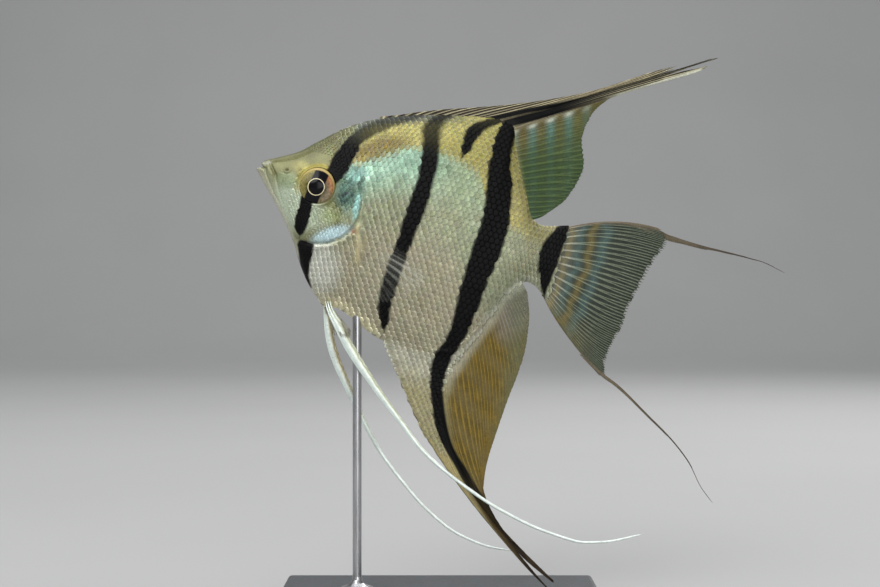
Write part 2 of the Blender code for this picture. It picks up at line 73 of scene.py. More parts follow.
# Fins as fans of rays: each row is one ray's root, middle and tip, (x, z)
DORSAL_RAYS = (
    ((28.0, 19.4), (28.9, 21.4), (29.7, 22.9)),
    ((36.7, 22.7), (40.6, 26.4), (45.1, 29.2)),
    ((46.0, 25.8), (54.6, 31.4), (63.6, 35.8)),
    ((53.1, 27.5), (67.9, 35.6), (84.2, 45.4)),
    ((58.0, 28.6), (80.6, 41.9), (103.4, 57.7)),
    ((61.6, 29.3), (88.4, 46.5), (116.4, 64.2)),
    ((64.0, 29.1), (86.5, 43.8), (113.2, 59.9)),
    ((64.5, 28.3), (80.5, 39.6), (99.9, 51.5)),
    ((65.0, 27.6), (77.2, 35.8), (89.7, 44.5)),
    ((65.7, 26.1), (75.5, 32.6), (86.5, 39.1)),
    ((67.6, 22.2), (76.7, 27.4), (85.6, 33.0)),
    ((70.7, 16.4), (79.2, 20.4), (88.3, 23.6)),
    ((74.0, 10.9), (80.1, 12.9), (86.0, 14.8)),
    ((77.1, 5.9), (79.4, 7.0), (81.3, 8.6)),
)
ANAL_RAYS = (
    ((47.2, -34.9), (48.1, -37.2), (48.8, -39.9)),
    ((50.5, -34.5), (53.4, -41.8), (56.6, -50.2)),
    ((53.9, -33.9), (57.9, -47.3), (63.5, -58.2)),
    ((56.5, -32.9), (62.1, -51.9), (72.1, -66.0)),
    ((59.1, -31.8), (67.3, -57.0), (86.1, -76.7)),
    ((60.6, -31.1), (75.6, -64.3), (109.7, -91.9)),
    ((62.1, -30.1), (76.3, -64.4), (111.0, -89.2)),
    ((63.6, -29.1), (75.6, -61.3), (96.8, -81.8)),
    ((66.6, -25.4), (76.7, -49.3), (85.0, -69.7)),
    ((69.2, -22.1), (78.0, -40.3), (84.1, -61.2)),
    ((71.9, -18.4), (79.7, -31.7), (84.8, -47.1)),
    ((74.5, -15.1), (80.9, -23.5), (86.1, -31.6)),
    ((76.7, -12.7), (81.1, -17.0), (85.0, -21.5)),
    ((78.6, -10.0), (80.7, -12.0), (82.5, -13.9)),
)
CAUDAL_RAYS = (
    ((84.9, 5.0), (99.3, 11.7), (113.9, 13.5)),
    ((85.2, 3.0), (100.1, 8.9), (116.5, 9.9)),
    ((85.0, 0.3), (100.1, 3.6), (114.4, 4.4)),
    ((85.0, -2.6), (100.3, -2.1), (112.8, -2.7)),
    ((84.9, -5.5), (99.6, -8.1), (111.2, -9.2)),
    ((85.1, -8.1), (98.9, -13.8), (110.7, -16.1)),
    ((85.3, -9.8), (98.2, -17.6), (109.3, -21.1)),
    ((85.5, -11.3), (97.5, -20.6), (108.8, -26.5)),
    ((85.9, -12.3), (96.4, -22.0), (109.9, -30.8)),
    ((86.6, -13.2), (94.6, -21.1), (107.8, -30.6)),
)
PECTORAL_RAYS = (
    ((33.9, -8.9), (40.2, -10.3), (46.4, -12.2)),
    ((34.1, -10.6), (43.0, -12.2), (51.6, -14.7)),
    ((34.4, -12.8), (44.5, -14.5), (54.2, -17.1)),
    ((34.7, -14.7), (43.6, -17.6), (52.1, -21.6)),
    ((34.7, -16.7), (41.6, -20.5), (48.3, -25.2)),
    ((34.8, -18.4), (39.6, -22.4), (44.0, -27.0)),
    ((34.8, -19.2), (37.4, -22.0), (39.8, -25.0)),
)
# How far the fins' tips stand off to the side
PECTORAL_SPREAD, DORSAL_BEND, ANAL_BEND, CAUDAL_BEND = 6.0, 1.2, -1.5, 1.5

# Trailing threads: the points that a thread passes, (x, y, z), and its width there
UPPER_THREAD = (
    ((105.0, 0.0, 12.6), 0.7), ((113.0, 0.3, 12.3), 1.7), ((117.0, 0.6, 11.7), 1.7),
    ((121.0, 0.8, 11.7), 1.3), ((125.5, 1.0, 11.7), 1.1), ((131.2, 1.2, 12.0), 0.7),
    ((142.8, 1.7, 12.3), 0.45), ((151.0, 2.0, 11.0), 0.3),
)
LOWER_THREAD = (
    ((101.0, 0.0, -26.2), 0.8), ((109.4, -0.2, -30.6), 1.1), ((112.9, -0.4, -31.9), 1.0),
    ((123.5, -0.9, -37.7), 0.7), ((132.3, -1.2, -42.8), 0.55), ((138.6, -1.5, -47.7), 0.45),
    ((143.2, -1.7, -52.9), 0.35), ((147.8, -2.0, -56.6), 0.3),
)
LEFT_PELVIC = (
    ((28.4, -1.0, -29.6), 1.4), ((30.5, -1.9, -33.1), 1.7), ((33.9, -2.6, -36.7), 2.2),
    ((38.4, -3.3, -41.5), 2.4), ((48.1, -4.3, -50.0), 1.8), ((57.6, -5.6, -57.3), 1.3),
    ((66.6, -6.7, -63.9), 1.1), ((78.1, -7.0, -69.2), 1.0), ((90.7, -7.0, -73.4), 0.9),
    ((104.0, -7.0, -75.8), 0.8), ((112.5, -7.0, -76.2), 0.75), ((120.5, -7.0, -74.3), 0.65),
    ((130.4, -7.0, -69.3), 0.5),
)
RIGHT_PELVIC = (
    ((27.8, 1.0, -29.6), 1.4), ((29.2, 2.0, -33.5), 1.5), ((31.2, 2.7, -38.8), 2.0),
    ((34.1, 3.5, -44.4), 2.2), ((42.6, 5.2, -55.3), 1.7), ((48.2, 6.0, -61.9), 1.3),
    ((53.8, 7.0, -67.8), 1.1), ((62.0, 7.0, -74.3), 1.0), ((72.2, 7.0, -81.0), 0.85),
    ((82.6, 7.0, -85.2), 0.75), ((91.0, 7.0, -86.2), 0.65), ((98.2, 7.0, -85.6), 0.5),
)
# Strands of a thread: place across it, share of its width, where it starts and where it ends
UPPER_STRANDS = (
    (-0.8, 0.17, 0.0, 0.5), (-0.5, 0.19, 0.0, 0.66), (-0.2, 0.21, 0.0, 0.82),
    (0.1, 0.24, 0.0, 1.0), (0.42, 0.21, 0.03, 0.93), (0.74, 0.18, 0.08, 0.74),
)
LOWER_STRANDS = ((-0.5, 0.34, 0.0, 0.6), (0.0, 0.42, 0.0, 1.0), (0.55, 0.34, 0.0, 0.8))
PELVIC_STRANDS = ((0.0, 0.95, 0.0, 1.0), (-0.75, 0.34, 0.0, 0.42), (0.8, 0.34, 0.0, 0.5))
THREAD_FLATNESS = 0.55
THREAD_LEAST = (0.15, 0.12)  # a strand's least width, but for its rounded end, and least depth
THREAD_JOINT = 2.2  # from one joint of a thread to the next

# Webs behind the pelvic threads: each one's first ray lies along its own thread
LEFT_WEB_RAYS = (
    ((28.7, -31.2), (32.0, -35.2), (35.6, -39.6)),
    ((28.9, -31.3), (32.8, -35.0), (37.4, -39.4)),
    ((29.1, -31.4), (33.6, -34.7), (38.4, -38.6)),
    ((29.3, -31.5), (34.0, -34.4), (38.0, -37.2)),
)
RIGHT_WEB_RAYS = (
    ((28.0, -30.8), (29.6, -35.2), (31.6, -40.2)),
    ((28.3, -31.0), (30.6, -35.2), (33.4, -40.0)),
    ((28.7, -31.2), (31.5, -34.9), (34.7, -39.1)),
    ((29.0, -31.3), (32.1, -34.5), (35.0, -37.7)),
)
WEB_SPREADS = (2.4, 1.7)  # how much further out to the side each one's tip lies than its root

# Eye: its middle and radius from the side, half its depth, and how far out it sits
EYE_CENTRE = (18.3, -0.9)
EYE_RADIUS = 5.1
EYE_HALF_DEPTH = 2.3
EYE_SEAT = 4.8

# Black bars: height, the bar's middle along the fish, and half its width
CHEEK_BAR = (
    (-15.4, 17.2, 0.1), (-14.4, 16.9, 1.2), (-13.0, 16.5, 1.8), (-11.0, 16.5, 1.95),
    (-8.0, 16.6, 1.9), (-5.5, 16.45, 1.85), (-2.0, 17.0, 1.8), (0.0, 20.0, 2.4),
    (5.0, 22.4, 2.6), (8.0, 23.0, 2.8), (11.0, 23.9, 2.6), (13.5, 24.5, 2.3),
    (16.5, 26.4, 2.5), (19.0, 28.8, 3.0), (21.5, 31.8, 3.0), (24.0, 36.0, 2.5), (26.5, 41.0, 1.2),
)
BREAST_BAR = (
    (-30.0, 24.3, 0.1), (-28.5, 23.5, 0.35), (-25.5, 21.5, 0.8), (-23.0, 20.4, 1.5),
    (-20.0, 19.8, 2.1), (-17.6, 19.3, 2.4), (-16.8, 19.3, 2.4), (-16.4, 19.3, 0.1),
)
SECOND_BAR = (
    (-35.0, 46.4, 0.2), (-33.5, 46.2, 0.9), (-28.0, 44.8, 1.8), (-22.0, 44.7, 2.2),
    (-16.0, 45.0, 2.1), (-10.0, 45.5, 2.0), (-3.5, 45.9, 2.4), (2.5, 46.5, 2.5),
    (8.5, 46.6, 2.2), (14.2, 46.2, 2.5), (18.5, 45.5, 2.5), (22.9, 44.4, 2.6),
    (26.0, 45.4, 2.1), (28.0, 47.5, 1.7),
)
HALF_BAR = (
    (18.0, 54.7, 0.3), (19.8, 54.9, 1.15), (22.0, 55.1, 1.6), (24.0, 55.4, 1.9),
    (26.0, 56.2, 2.1), (27.5, 57.1, 2.2), (29.0, 59.0, 2.1), (31.0, 62.0, 2.0),
)
THIRD_BAR = (
    (-92.0, 108.0, 1.2), (-84.0, 99.5, 1.4), (-78.0, 91.5, 1.6), (-72.0, 84.0, 1.9),
    (-69.0, 80.5, 1.8), (-66.0, 77.6, 1.75), (-63.0, 74.3, 1.6), (-60.0, 71.5, 1.7),
    (-54.0, 68.0, 1.9), (-50.0, 66.4, 1.8), (-46.0, 64.9, 1.9), (-40.0, 64.1, 2.35),
    (-37.0, 64.5, 2.4), (-32.0, 66.1, 2.4), (-26.0, 66.9, 2.7), (-19.0, 67.1, 3.3),
    (-12.0, 67.5, 3.6), (-5.0, 68.0, 4.0), (1.0, 68.4, 3.9), (8.0, 67.6, 3.7),
    (14.2, 66.5, 3.7), (18.0, 65.4, 3.1), (25.0, 64.8, 2.8), (32.0, 65.4, 2.3),
)
TAIL_BAR = (
    (-14.5, 87.3, 0.2), (-13.0, 87.0, 0.5), (-11.0, 86.4, 1.1), (-8.0, 85.9, 1.8),
    (-5.5, 85.5, 2.6), (-2.7, 85.3, 2.95), (1.0, 85.8, 2.8), (4.0, 86.5, 2.2),
    (7.0, 87.4, 1.3), (8.0, 87.8, 0.6),
)
# Each bar, the height up to which it is full black, and what is left of it above that
BARS = (
    (CHEEK_BAR, 11.0, 0.66), (BREAST_BAR, 90.0, 1.0), (SECOND_BAR, 14.0, 0.88),
    (HALF_BAR, 24.0, 0.9), (THIRD_BAR, 90.0, 1.0), (TAIL_BAR, 90.0, 1.0),
)


# ---------------------------------------------------------------- numbers


def glide(knots, values, at):
    """The curve through values at knots that never overshoots one of them."""
    at = np.clip(np.asarray(at, float), knots[0], knots[-1])
    values = values.reshape(len(knots), -1)
    slopes = np.diff(values, axis=0) / np.diff(knots)[:, None]
    before, after = slopes[:-1], slopes[1:]
    same_way = before * after > 0
    middle = np.where(same_way, 2 * before * after / np.where(same_way, before + after, 1), 0)
    tangents = np.vstack([slopes[:1], middle, slopes[-1:]])
    i = np.clip(np.searchsorted(knots, at) - 1, 0, len(knots) - 2)
    span = (knots[i + 1] - knots[i])[..., None]
    t = (at - knots[i])[..., None] / span
    start = (1 + 2 * t) * (1 - t) ** 2 * values[i] + t * (1 - t) ** 2 * span * tangents[i]
    end = t * t * (3 - 2 * t) * values[i + 1] - t * t * (1 - t) * span * tangents[i + 1]
    found = start + end
    return found[..., 0] if found.shape[-1] == 1 else found


def follow(table, at):
    """The smooth curve through a table's rows, each a place and its values, read at each at."""
    rows = np.array(table, float)
    return glide(rows[:, 0], rows[:, 1:], at)


def ease(low, high, value):
    """0 below low, 1 above high, and a smooth step between."""
    t = np.clip((value - low) / (high - low), 0, 1)
    return t * t * (3 - 2 * t)


def bump(distance, width):
    """1 at no distance, and down to nearly 0 at twice the width."""
    return np.exp(-((distance / width) ** 2))


def mixed(first, second, share):
    return first + (np.asarray(second) - first) * share[..., None]


def layered(colour, *layers):
    """A colour with others laid over it in turn, each as far as its share says."""
    for tint, share in layers:
        colour = mixed(colour, tint, share)
    return colour


def paint(red, green, blue):
    """A colour given 0 to 255, as the light values that Blender takes."""
    seen = np.array((red, green, blue)) / 255
    return np.where(seen > 0.04045, ((seen + 0.055) / 1.055) ** 2.4, seen / 12.92)


def from_line(x, z, line):
    """The distance of each point from a line of (x, z) corners."""
    nearest = np.full(np.shape(x), 1e9)
    for (x0, z0), (x1, z1) in zip(line, line[1:]):
        run, rise = x1 - x0, z1 - z0
        t = np.clip(((x - x0) * run + (z - z0) * rise) / (run * run + rise * rise), 0, 1)
        nearest = np.minimum(nearest, np.hypot(x - x0 - t * run, z - z0 - t * rise))
    return nearest


def from_eye(x, z):
    return np.hypot(x - EYE_CENTRE[0], z - EYE_CENTRE[1])


def within(x, z, outline):
    """Whether each point lies in a closed outline."""
    inside = np.zeros(np.shape(x), bool)
    for (x0, z0), (x1, z1) in zip(outline, outline[1:] + outline[:1]):
        crosses = (z0 > z) != (z1 > z)
        reach = x0 + (z - z0) * (x1 - x0) / (z1 - z0 if z1 != z0 else 1)
        inside ^= crosses & (x < reach)
    return inside


# ---------------------------------------------------------------- shapes


def turned(points, angle):
    """Points turned about the fish's y axis: a positive angle lifts the snout."""
    x, y, z = points.T
    cos, sin = math.cos(angle), math.sin(angle)
    return np.stack([x * cos + z * sin, y, z * cos - x * sin], axis=1)


def placed(points):
    """Points of the fish's level axes, in mm, as metres on the stand."""
    return (SNOUT + turned(points, PITCH)) * MM


def only(*objects):
    """Select these pieces alone, with the first as the active one."""
    bpy.ops.object.select_all(action="DESELECT")
    for obj in objects:
        obj.select_set(True)
    if objects:
        bpy.context.view_layer.objects.active = objects[0]


def added(name):
    """The primitive just added, named."""
    obj = bpy.context.active_object
    obj.name = obj.data.name = name
    return obj


def grid(name, across, along):
    """A flat grid primitive, and where each of its points lies across and along, 0 to 1."""
    only()
    bpy.ops.mesh.primitive_grid_add(x_subdivisions=across, y_subdivisions=along, size=1)
    obj = added(name)
    points = read_points(obj)
    return obj, points[:, 0] + 0.5, points[:, 1] + 0.5


def ball(name, around, rings):
    """A sphere primitive, and each point's place from pole to pole, 0 to 1, and its turn."""
    only()
    bpy.ops.mesh.primitive_uv_sphere_add(segments=around, ring_count=rings, radius=1)
    obj = added(name)
    points = read_points(obj)
    share = 1 - np.arccos(np.clip(points[:, 2], -1, 1)) / math.pi
    ring = np.hypot(points[:, 0], points[:, 1])
    off_pole = ring > 1e-5
    turn = points[:, :2] / np.where(off_pole, ring, 1)[:, None]
    return obj, share, turn * off_pole[:, None]


def read_points(obj, name="co"):
    """Where each point lies, or another vector that it has."""
    flat = np.empty(len(obj.data.vertices) * 3, np.float32)
    obj.data.vertices.foreach_get(name, flat)
    return flat.reshape(-1, 3).astype(float)


def set_points(obj, points):
    """Points in metres become the piece's shape."""
    obj.data.vertices.foreach_set("co", points.astype(np.float32).ravel())
    obj.data.update()


def set_values(obj, **given):
    """Values or colours at each point, that materials read by name."""
    for name, values in given.items():
        values = np.asarray(values, np.float32)
        if values.ndim == 1:
            layer = obj.data.attributes.new(name, "FLOAT", "POINT")
            layer.data.foreach_set("value", values)
        else:
            layer = obj.data.attributes.new(name, "FLOAT_COLOR", "POINT")
            full = np.concatenate([values, np.ones((len(values), 1), np.float32)], axis=1)
            layer.data.foreach_set("color", full.ravel())


def set_map(obj, name, places):
    """A UV map from one place for each point."""
    loops = np.empty(len(obj.data.loops), np.int32)
    obj.data.loops.foreach_get("vertex_index", loops)
    layer = obj.data.uv_layers.new(name=name)
    layer.uv.foreach_set("vector", places[loops].astype(np.float32).ravel())


def outwards(obj):
    """All faces of a closed piece point out."""
    only(obj)
    bpy.ops.object.mode_set(mode="EDIT")
    bpy.ops.mesh.select_all(action="SELECT")
    bpy.ops.mesh.normals_make_consistent(inside=False)
    bpy.ops.object.mode_set(mode="OBJECT")


def wear(obj, look):
    obj.data.materials.clear()
    obj.data.materials.append(look)


def finished(obj, look, slot, *nodes):
    """The piece rides on the fish, takes its finish and stands for these solids."""
    wear(obj, look)
    obj.data.shade_smooth()
    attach(obj, "root")
    if nodes:
        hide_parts(*nodes)


def section(x, inset=COAT):
    """Top, bottom, half thickness and keel of the body at each x, drawn in by inset.

    The snout has no scales, so it keeps its full size.
    """
    inset = inset * ease(3.0, 12.0, x)
    top, bottom = follow(BACK, x) - inset, follow(BELLY, x) + inset
    return top, bottom, np.maximum(follow(HALF_THICKNESS, x) - inset, 0.2), follow(KEEL, x)


def flank(x, z, inset=0.0):
    """Half the body's thickness at each point of its side."""
    top, bottom, half, keel = section(x, inset)
    share = np.clip((2 * z - top - bottom) / (top - bottom), -1, 1)
    return half * (1 - share * share) ** keel


# ---------------------------------------------------------------- markings


def bar_mask(x, z, soft=0.5):
    """How black the skin is at each point: 1 inside a bar."""
    mask = np.zeros(np.shape(x))
    for bar, full_below, left_above in BARS:
        middle, half = np.moveaxis(follow(bar, z), -1, 0)
        inside = (z > bar[0][0] - 0.5) & (z < bar[-1][0] + 0.5)
        fade = ease(full_below, full_below + 12, z)
        blur = soft + 0.9 * fade
        near = ease(blur, -blur, np.abs(x - middle) - half)
        mask = np.maximum(mask, near * inside * (1 - (1 - left_above) * fade))
    return mask


GOLD_EDGE = (
    (24.0, 5.0), (27.5, 7.2), (31.0, 11.2), (34.0, 13.4), (41.0, 16.6), (48.0, 17.2),
    (59.0, 15.0), (66.0, 6.0), (80.0, 0.0),
)
GOLD = paint(160, 152, 86)
GOLD_DEEP = paint(104, 88, 34)
MINT = paint(148, 182, 158)
MINT_REAR = paint(148, 162, 126)
OLIVE = paint(144, 148, 118)
BEIGE = paint(160, 154, 128)
PALE = paint(198, 202, 190)
FACE = paint(106, 106, 70)
CHEEK = paint(172, 183, 160)
BREAST = paint(190, 192, 180)
TEAL = paint(84, 114, 102)
BAND = paint(184, 210, 214)
SMOKE = paint(66, 75, 78)
BLACK = paint(9, 9, 9)
PECTORAL_BASE = ((32.0, -9.0), (33.3, -13.6), (34.5, -18.2))
LATERAL_LINE = ((50.3, 13.4), (52.5, 13.6), (54.6, 13.0))


def mint_share(x, z):
    """How far a point lies in the shining pale zone along the flank."""
    below = follow(GOLD_EDGE, x) - z
    return ease(17, 8, below) * ease(-1, 1, below) * ease(70, 58, x) * ease(24, 29, x)


def spot(x, z, centre, reach, tilt=0.0):
    """A soft patch: 1 at its centre, 0 from its reach on."""
    turn = math.radians(tilt)
    dx, dz = x - centre[0], z - centre[1]
    along = (dx * math.cos(turn) + dz * math.sin(turn)) / reach[0]
    up = (dz * math.cos(turn) - dx * math.sin(turn)) / reach[1]
    return ease(1.0, 0.35, np.hypot(along, up))


def ground(x, z):
    """The fish's colour under its bars."""
    below, edge = follow(GOLD_EDGE, x) - z, follow(BACK, x) - z
    above_belly = z - follow(BELLY, x)
    mint = mixed(MINT, MINT_REAR, ease(40, 58, x) * 0.9)
    body = layered(
        OLIVE,
        (BEIGE, ease(18, 30, below)),
        (mint, mint_share(x, z) * (1 - 0.35 * ease(3, 12, below))),
        (BREAST, spot(x, z, (24, -22), (11, 9), -50) * 0.9),
        (GOLD, ease(1.6, -2.0, below) * ease(24, 28, x)),
        (GOLD_DEEP, spot(x, z, (32, 14.0), (12, 4.5), 32) * 0.85),
        (paint(160, 150, 96), ease(68, 71, x) * ease(1, 9, z) * 0.5),
        (paint(120, 118, 88), ease(74, 81, x) * ease(-14, -4, z) * 0.7),
        (SMOKE, ease(4.0, 1.0, edge) * ease(17, 26, x) * ease(58, 44, x) * 0.85),
        (PALE, ease(2.2, 0.4, above_belly) * ease(24, 34, x) * 0.3),
        (paint(224, 217, 178), ease(4.2, 1.2, above_belly) * ease(26, 31, x) * ease(49, 42, x) * 0.9),
        (paint(138, 128, 80), ease(-40, -50, z) * 0.75),
        (paint(70, 80, 70), bump(from_line(x, z, LATERAL_LINE), 0.4) * 0.6),
    )
    above_eye = ease(-3.0, 3.0, z - EYE_CENTRE[1] - 0.6 * (x - EYE_CENTRE[0]))
    face = layered(
        FACE,
        (CHEEK, spot(x, z, (13, -8), (11, 9), -35)),
        (paint(98, 98, 66), spot(x, z, (18.5, 12.5), (10, 5.5), 42) * 0.9),
        (paint(160, 146, 58), bump(from_eye(x, z) - 5.7, 0.7) * above_eye * 0.7),
        (paint(160, 152, 88), spot(x, z, (12.5, 3.2), (4.0, 2.2)) * 0.4),
        (paint(134, 148, 112), spot(x, z, (9.5, -1.5), (4.5, 3)) * 0.6),
        (paint(176, 180, 150), spot(x, z, (4.5, -3.5), (7, 2.4), -55) * 0.5),
        (paint(168, 170, 158), bump(from_line(x, z, UPPER_LIP), 0.6) * 0.5),
        (paint(190, 188, 168), ease(3.0, 0.5, above_belly) * 0.7),
    )
    head = ease(27.0, 24.0, x + 0.12 * (z - 5)) * ease(-17.6, -16.2, z)
    return layered(
        body,
        (face, head * (within(x, z, HEAD_AREA) | (x < 18) | (z > -8))),
        (CHEEK, spot(x, z, (21, -9.5), (6, 5)) * 0.6),
        (TEAL, spot(x, z, (27.2, 0.5), (5.8, 8.5), 8) * 0.9),
        (paint(144, 190, 178), spot(x, z, (28.0, 5.6), (4.2, 3.6)) * 0.75),
        (paint(66, 90, 80), spot(x, z, (26.6, -1.6), (2.9, 3.6)) * 0.85),
        (paint(150, 160, 114), spot(x, z, (24.0, -7.5), (4.2, 3.2), 45) * 0.6),
        (BAND, spot(x, z, (25.6, -12.7), (8, 2.6), 33) * 0.95),
        (paint(150, 204, 200), spot(x, z, (30.4, -4.0), (1.2, 5), 4) * 0.7),
        (paint(178, 166, 124), bump(from_line(x, z, PECTORAL_BASE), 0.7) * 0.85),
        (paint(150, 84, 58), bump(np.hypot(x - 31.2, z + 10.4), 0.7) * 0.8),
    )


# ---------------------------------------------------------------- materials

OWN_SHINE = 0.1  # the fish's own highlight, as most of its shine is the clear coat's


class Net:
    """The nodes of a material or a group, with short ways to add and join them."""

    def __init__(self, tree):
        self.nodes, self.links = tree.nodes, tree.links
        self.shader = tree.nodes.get("Principled BSDF")

    def add(self, kind, **settings):
        node = self.nodes.new(kind)
        for name, value in settings.items():
            setattr(node, name, value)
        return node

    def feed(self, socket, value):
        """Join another node's socket to this one, or give it a number or a colour."""
        if isinstance(value, bpy.types.NodeSocket):
            self.links.new(value, socket)
        else:
            socket.default_value = value if np.isscalar(value) else (*value, 1)

    def fill(self, node, given):
        for name, value in given.items():
            self.feed(node.inputs[name], value)
        return node.outputs

    def surface(self, given):
        self.fill(self.shader, given)

    def carried(self, name):
        """What each point of the piece has under this name."""
        node = self.add("ShaderNodeAttribute", attribute_name=name)
        return node.outputs["Color" if name == "ground" else "Fac"]

    def mapped(self, name):
        return self.add("ShaderNodeUVMap", uv_map=name).outputs["UV"]

    def mix(self, share, first, second, kind="MIX"):
        node = self.add("ShaderNodeMix", data_type="RGBA", blend_type=kind)
        colours = [socket for socket in node.inputs if socket.type == "RGBA"]
        for socket, value in zip((node.inputs["Factor"], *colours), (share, first, second)):
            self.feed(socket, value)
        return [socket for socket in node.outputs if socket.type == "RGBA"][0]

    def shaded(self, colour, light):
        return self.mix(1.0, colour, light, "MULTIPLY")

    def math(self, operation, *values):
        node = self.add("ShaderNodeMath", operation=operation)
        for socket, value in zip(node.inputs, values):
            self.feed(socket, value)
        return node.outputs[0]

    def times(self, first, second):
        return self.math("MULTIPLY", first, second)

    def plus(self, first, second):
        return self.math("ADD", first, second)

    def noise(self, scale, detail=3.0, stretch=(1, 1, 1)):
        mapping = self.add("ShaderNodeMapping")
        mapping.inputs["Scale"].default_value = stretch
        place = self.add("ShaderNodeTexCoord").outputs["Object"]
        moved = self.fill(mapping, {"Vector": place})["Vector"]
        texture = self.add("ShaderNodeTexNoise")
        return self.fill(texture, {"Scale": scale, "Detail": detail, "Vector": moved})["Fac"]

    def ranged(self, value, low, high, to_low=0.0, to_high=1.0):
        """The value from low to high, as one from to_low to to_high, and held there outside."""
        node = self.add("ShaderNodeMapRange")
        for socket, given in zip(node.inputs, (value, low, high, to_low, to_high)):
            self.feed(socket, given)
        return node.outputs[0]

    def bumped(self, height, strength, distance):
        given = {"Strength": strength, "Distance": distance, "Height": height}
        self.surface({"Normal": self.fill(self.add("ShaderNodeBump"), given)["Normal"]})


def new_look(name, roughness=0.4, coat=0.0):
    """A new material, and its nodes."""
    look = bpy.data.materials.new(name)
    look.use_nodes = True
    net = Net(look.node_tree)
    net.surface({"Roughness": roughness, "Coat Weight": coat})
    return look, net


def flesh_group():
    """The fish's skin colour: ground and bars, with a fine grain of pigment and silver."""
    group = bpy.data.node_groups.new("fish pigment", "ShaderNodeTree")
    for way, names in (("INPUT", ("Ground", "Bar", "Edge", "Grain")),
                       ("OUTPUT", ("Colour", "Roughness", "Metal", "Height"))):
        for name in names:
            kind = "NodeSocketColor" if name in ("Ground", "Colour") else "NodeSocketFloat"
            group.interface.new_socket(name, in_out=way, socket_type=kind)
    net = Net(group)
    given, outlet = net.add("NodeGroupInput").outputs, net.add("NodeGroupOutput")
    fine, coarse = net.noise(2600, 2), net.noise(420, 3)
    grain = net.times(net.ranged(fine, 0.35, 0.7, -0.5, 0.5), given["Grain"])
    tinted = net.shaded(given["Ground"], net.plus(net.ranged(coarse, 0.3, 0.7, 0.86, 1.1), grain))
    pale = net.mix(0.45, PALE, net.shaded(tinted, (1.9, 1.9, 1.9)))
    edged = net.mix(given["Edge"], tinted, pale)
    dark = net.shaded(BLACK, net.ranged(coarse, 0.3, 0.7, 0.4, 1.2))
    silver = net.ranged(coarse, 0.3, 0.7, 0.2, 0.45)
    net.fill(outlet, {
        "Colour": net.mix(given["Bar"], edged, dark),
        "Roughness": net.plus(net.ranged(fine, 0.3, 0.7, 0.26, 0.46), net.times(given["Bar"], 0.16)),
        "Metal": net.times(net.math("SUBTRACT", 1.0, given["Bar"]), silver),
        "Height": fine,
    })
    return group


PIGMENT = flesh_group()


def pigmented(net, grain, ground_colour, edge):
    """The fish's pigment becomes the shader's colour and roughness."""
    pigment = net.fill(net.add("ShaderNodeGroup", node_tree=PIGMENT), {
        "Grain": grain, "Ground": ground_colour, "Edge": edge, "Bar": net.carried("bar"),
    })
    net.surface({
        "Base Color": pigment["Colour"], "Roughness": pigment["Roughness"],
        "Specular IOR Level": OWN_SHINE,
    })
    return pigment


def scale_rim(net, shape, depth):
    """1 along a scale's free edge, and its darker middle, from its own map."""
    centred = net.add("ShaderNodeVectorMath", operation="SUBTRACT")
    centred.inputs[1].default_value = (0.5, 0.5, 0)
    net.feed(centred.inputs[0], net.mapped(shape))
    length = net.add("ShaderNodeVectorMath", operation="LENGTH")
    net.feed(length.inputs[0], centred.outputs[0])
    out = length.outputs["Value"]
    return net.ranged(out, 0.41, 0.455), net.ranged(out, 0.12, 0.4, 1 - 0.36 * depth, 1.06)


def flesh_look(name, grain, coat, shape="", depth=1.0):
    """Flesh, and with the name of its shape map a scale, whose rim shows as far as depth says."""
    look, net = new_look(name)
    under = net.carried("ground")
    if shape:
        rim, shade = scale_rim(net, shape, depth)
        under, edge = net.shaded(under, shade), net.times(rim, depth)
    else:
        edge = net.carried("edge")
    pigment = pigmented(net, grain, under, edge)
    bare = net.math("SUBTRACT", 1.0, net.carried("bar"))
    net.surface({"Coat Weight": net.times(bare, coat), "Metallic": pigment["Metal"]})
    net.bumped(pigment["Height"], 0.25, 0.00006)
    return look


def fin_look(name, clear):
    """A fin: coloured rays with a clearer web between them. clear is the rays' own cover."""
    look, net = new_look(name, 0.38, 0.06)
    pigment = pigmented(net, 0.35, net.carried("ground"), net.carried("edge"))
    rays = net.times(net.carried("ray"), clear)
    net.surface({"Alpha": net.math("MAXIMUM", rays, net.carried("cover"))})
    net.bumped(pigment["Height"], 0.2, 0.00005)
    return look


# ---------------------------------------------------------------- skin


GILL_EDGE = (
    (21.1, 12.5), (24.4, 9.6), (27.3, 6.2), (30.1, 2.4), (31.7, -2.2), (31.8, -6.1),
    (31.0, -9.4), (28.6, -12.9), (25.3, -15.3), (21.6, -16.5), (18.2, -16.8), (14.6, -15.9),
)
CHEEK_FOLD = ((23.6, -1.0), (23.4, -3.2), (22.8, -5.6), (22.0, -8.1), (21.0, -10.9), (18.6, -14.0))
MOUTH_FOLD = ((1.4, 0.25), (2.5, 0.1), (3.3, -1.6), (4.7, -3.4), (6.6, -5.8), (8.8, -8.2))
LIP_FOLD = ((3.0, 2.6), (4.2, 1.1), (5.9, -0.9), (7.2, -3.4), (8.6, -6.0), (9.8, -8.0))
UPPER_LIP = ((1.2, 1.3), (3.2, 2.0))
LOWER_LIP = ((0.6, -0.7), (1.6, -0.6), (2.4, -1.0))
JAW_BONE = ((3.2, 0.6), (4.6, -1.2), (6.0, -3.5), (7.6, -6.2))
NOSTRIL = (8.7, 1.2)
HEAD_AREA = GILL_EDGE + ((10.0, -12.0), (6.0, 3.0), (19.0, 15.5))
# Ridges and grooves of the head: the line, its height off the flesh and its half width
HEAD_RIDGES = (
    (MOUTH_FOLD, -0.3, 0.26), (LIP_FOLD, -0.2, 0.3), (JAW_BONE, 0.15, 0.6),
    (UPPER_LIP, 0.2, 0.5), (LOWER_LIP, 0.18, 0.5), (PECTORAL_BASE, 0.4, 0.8),
)
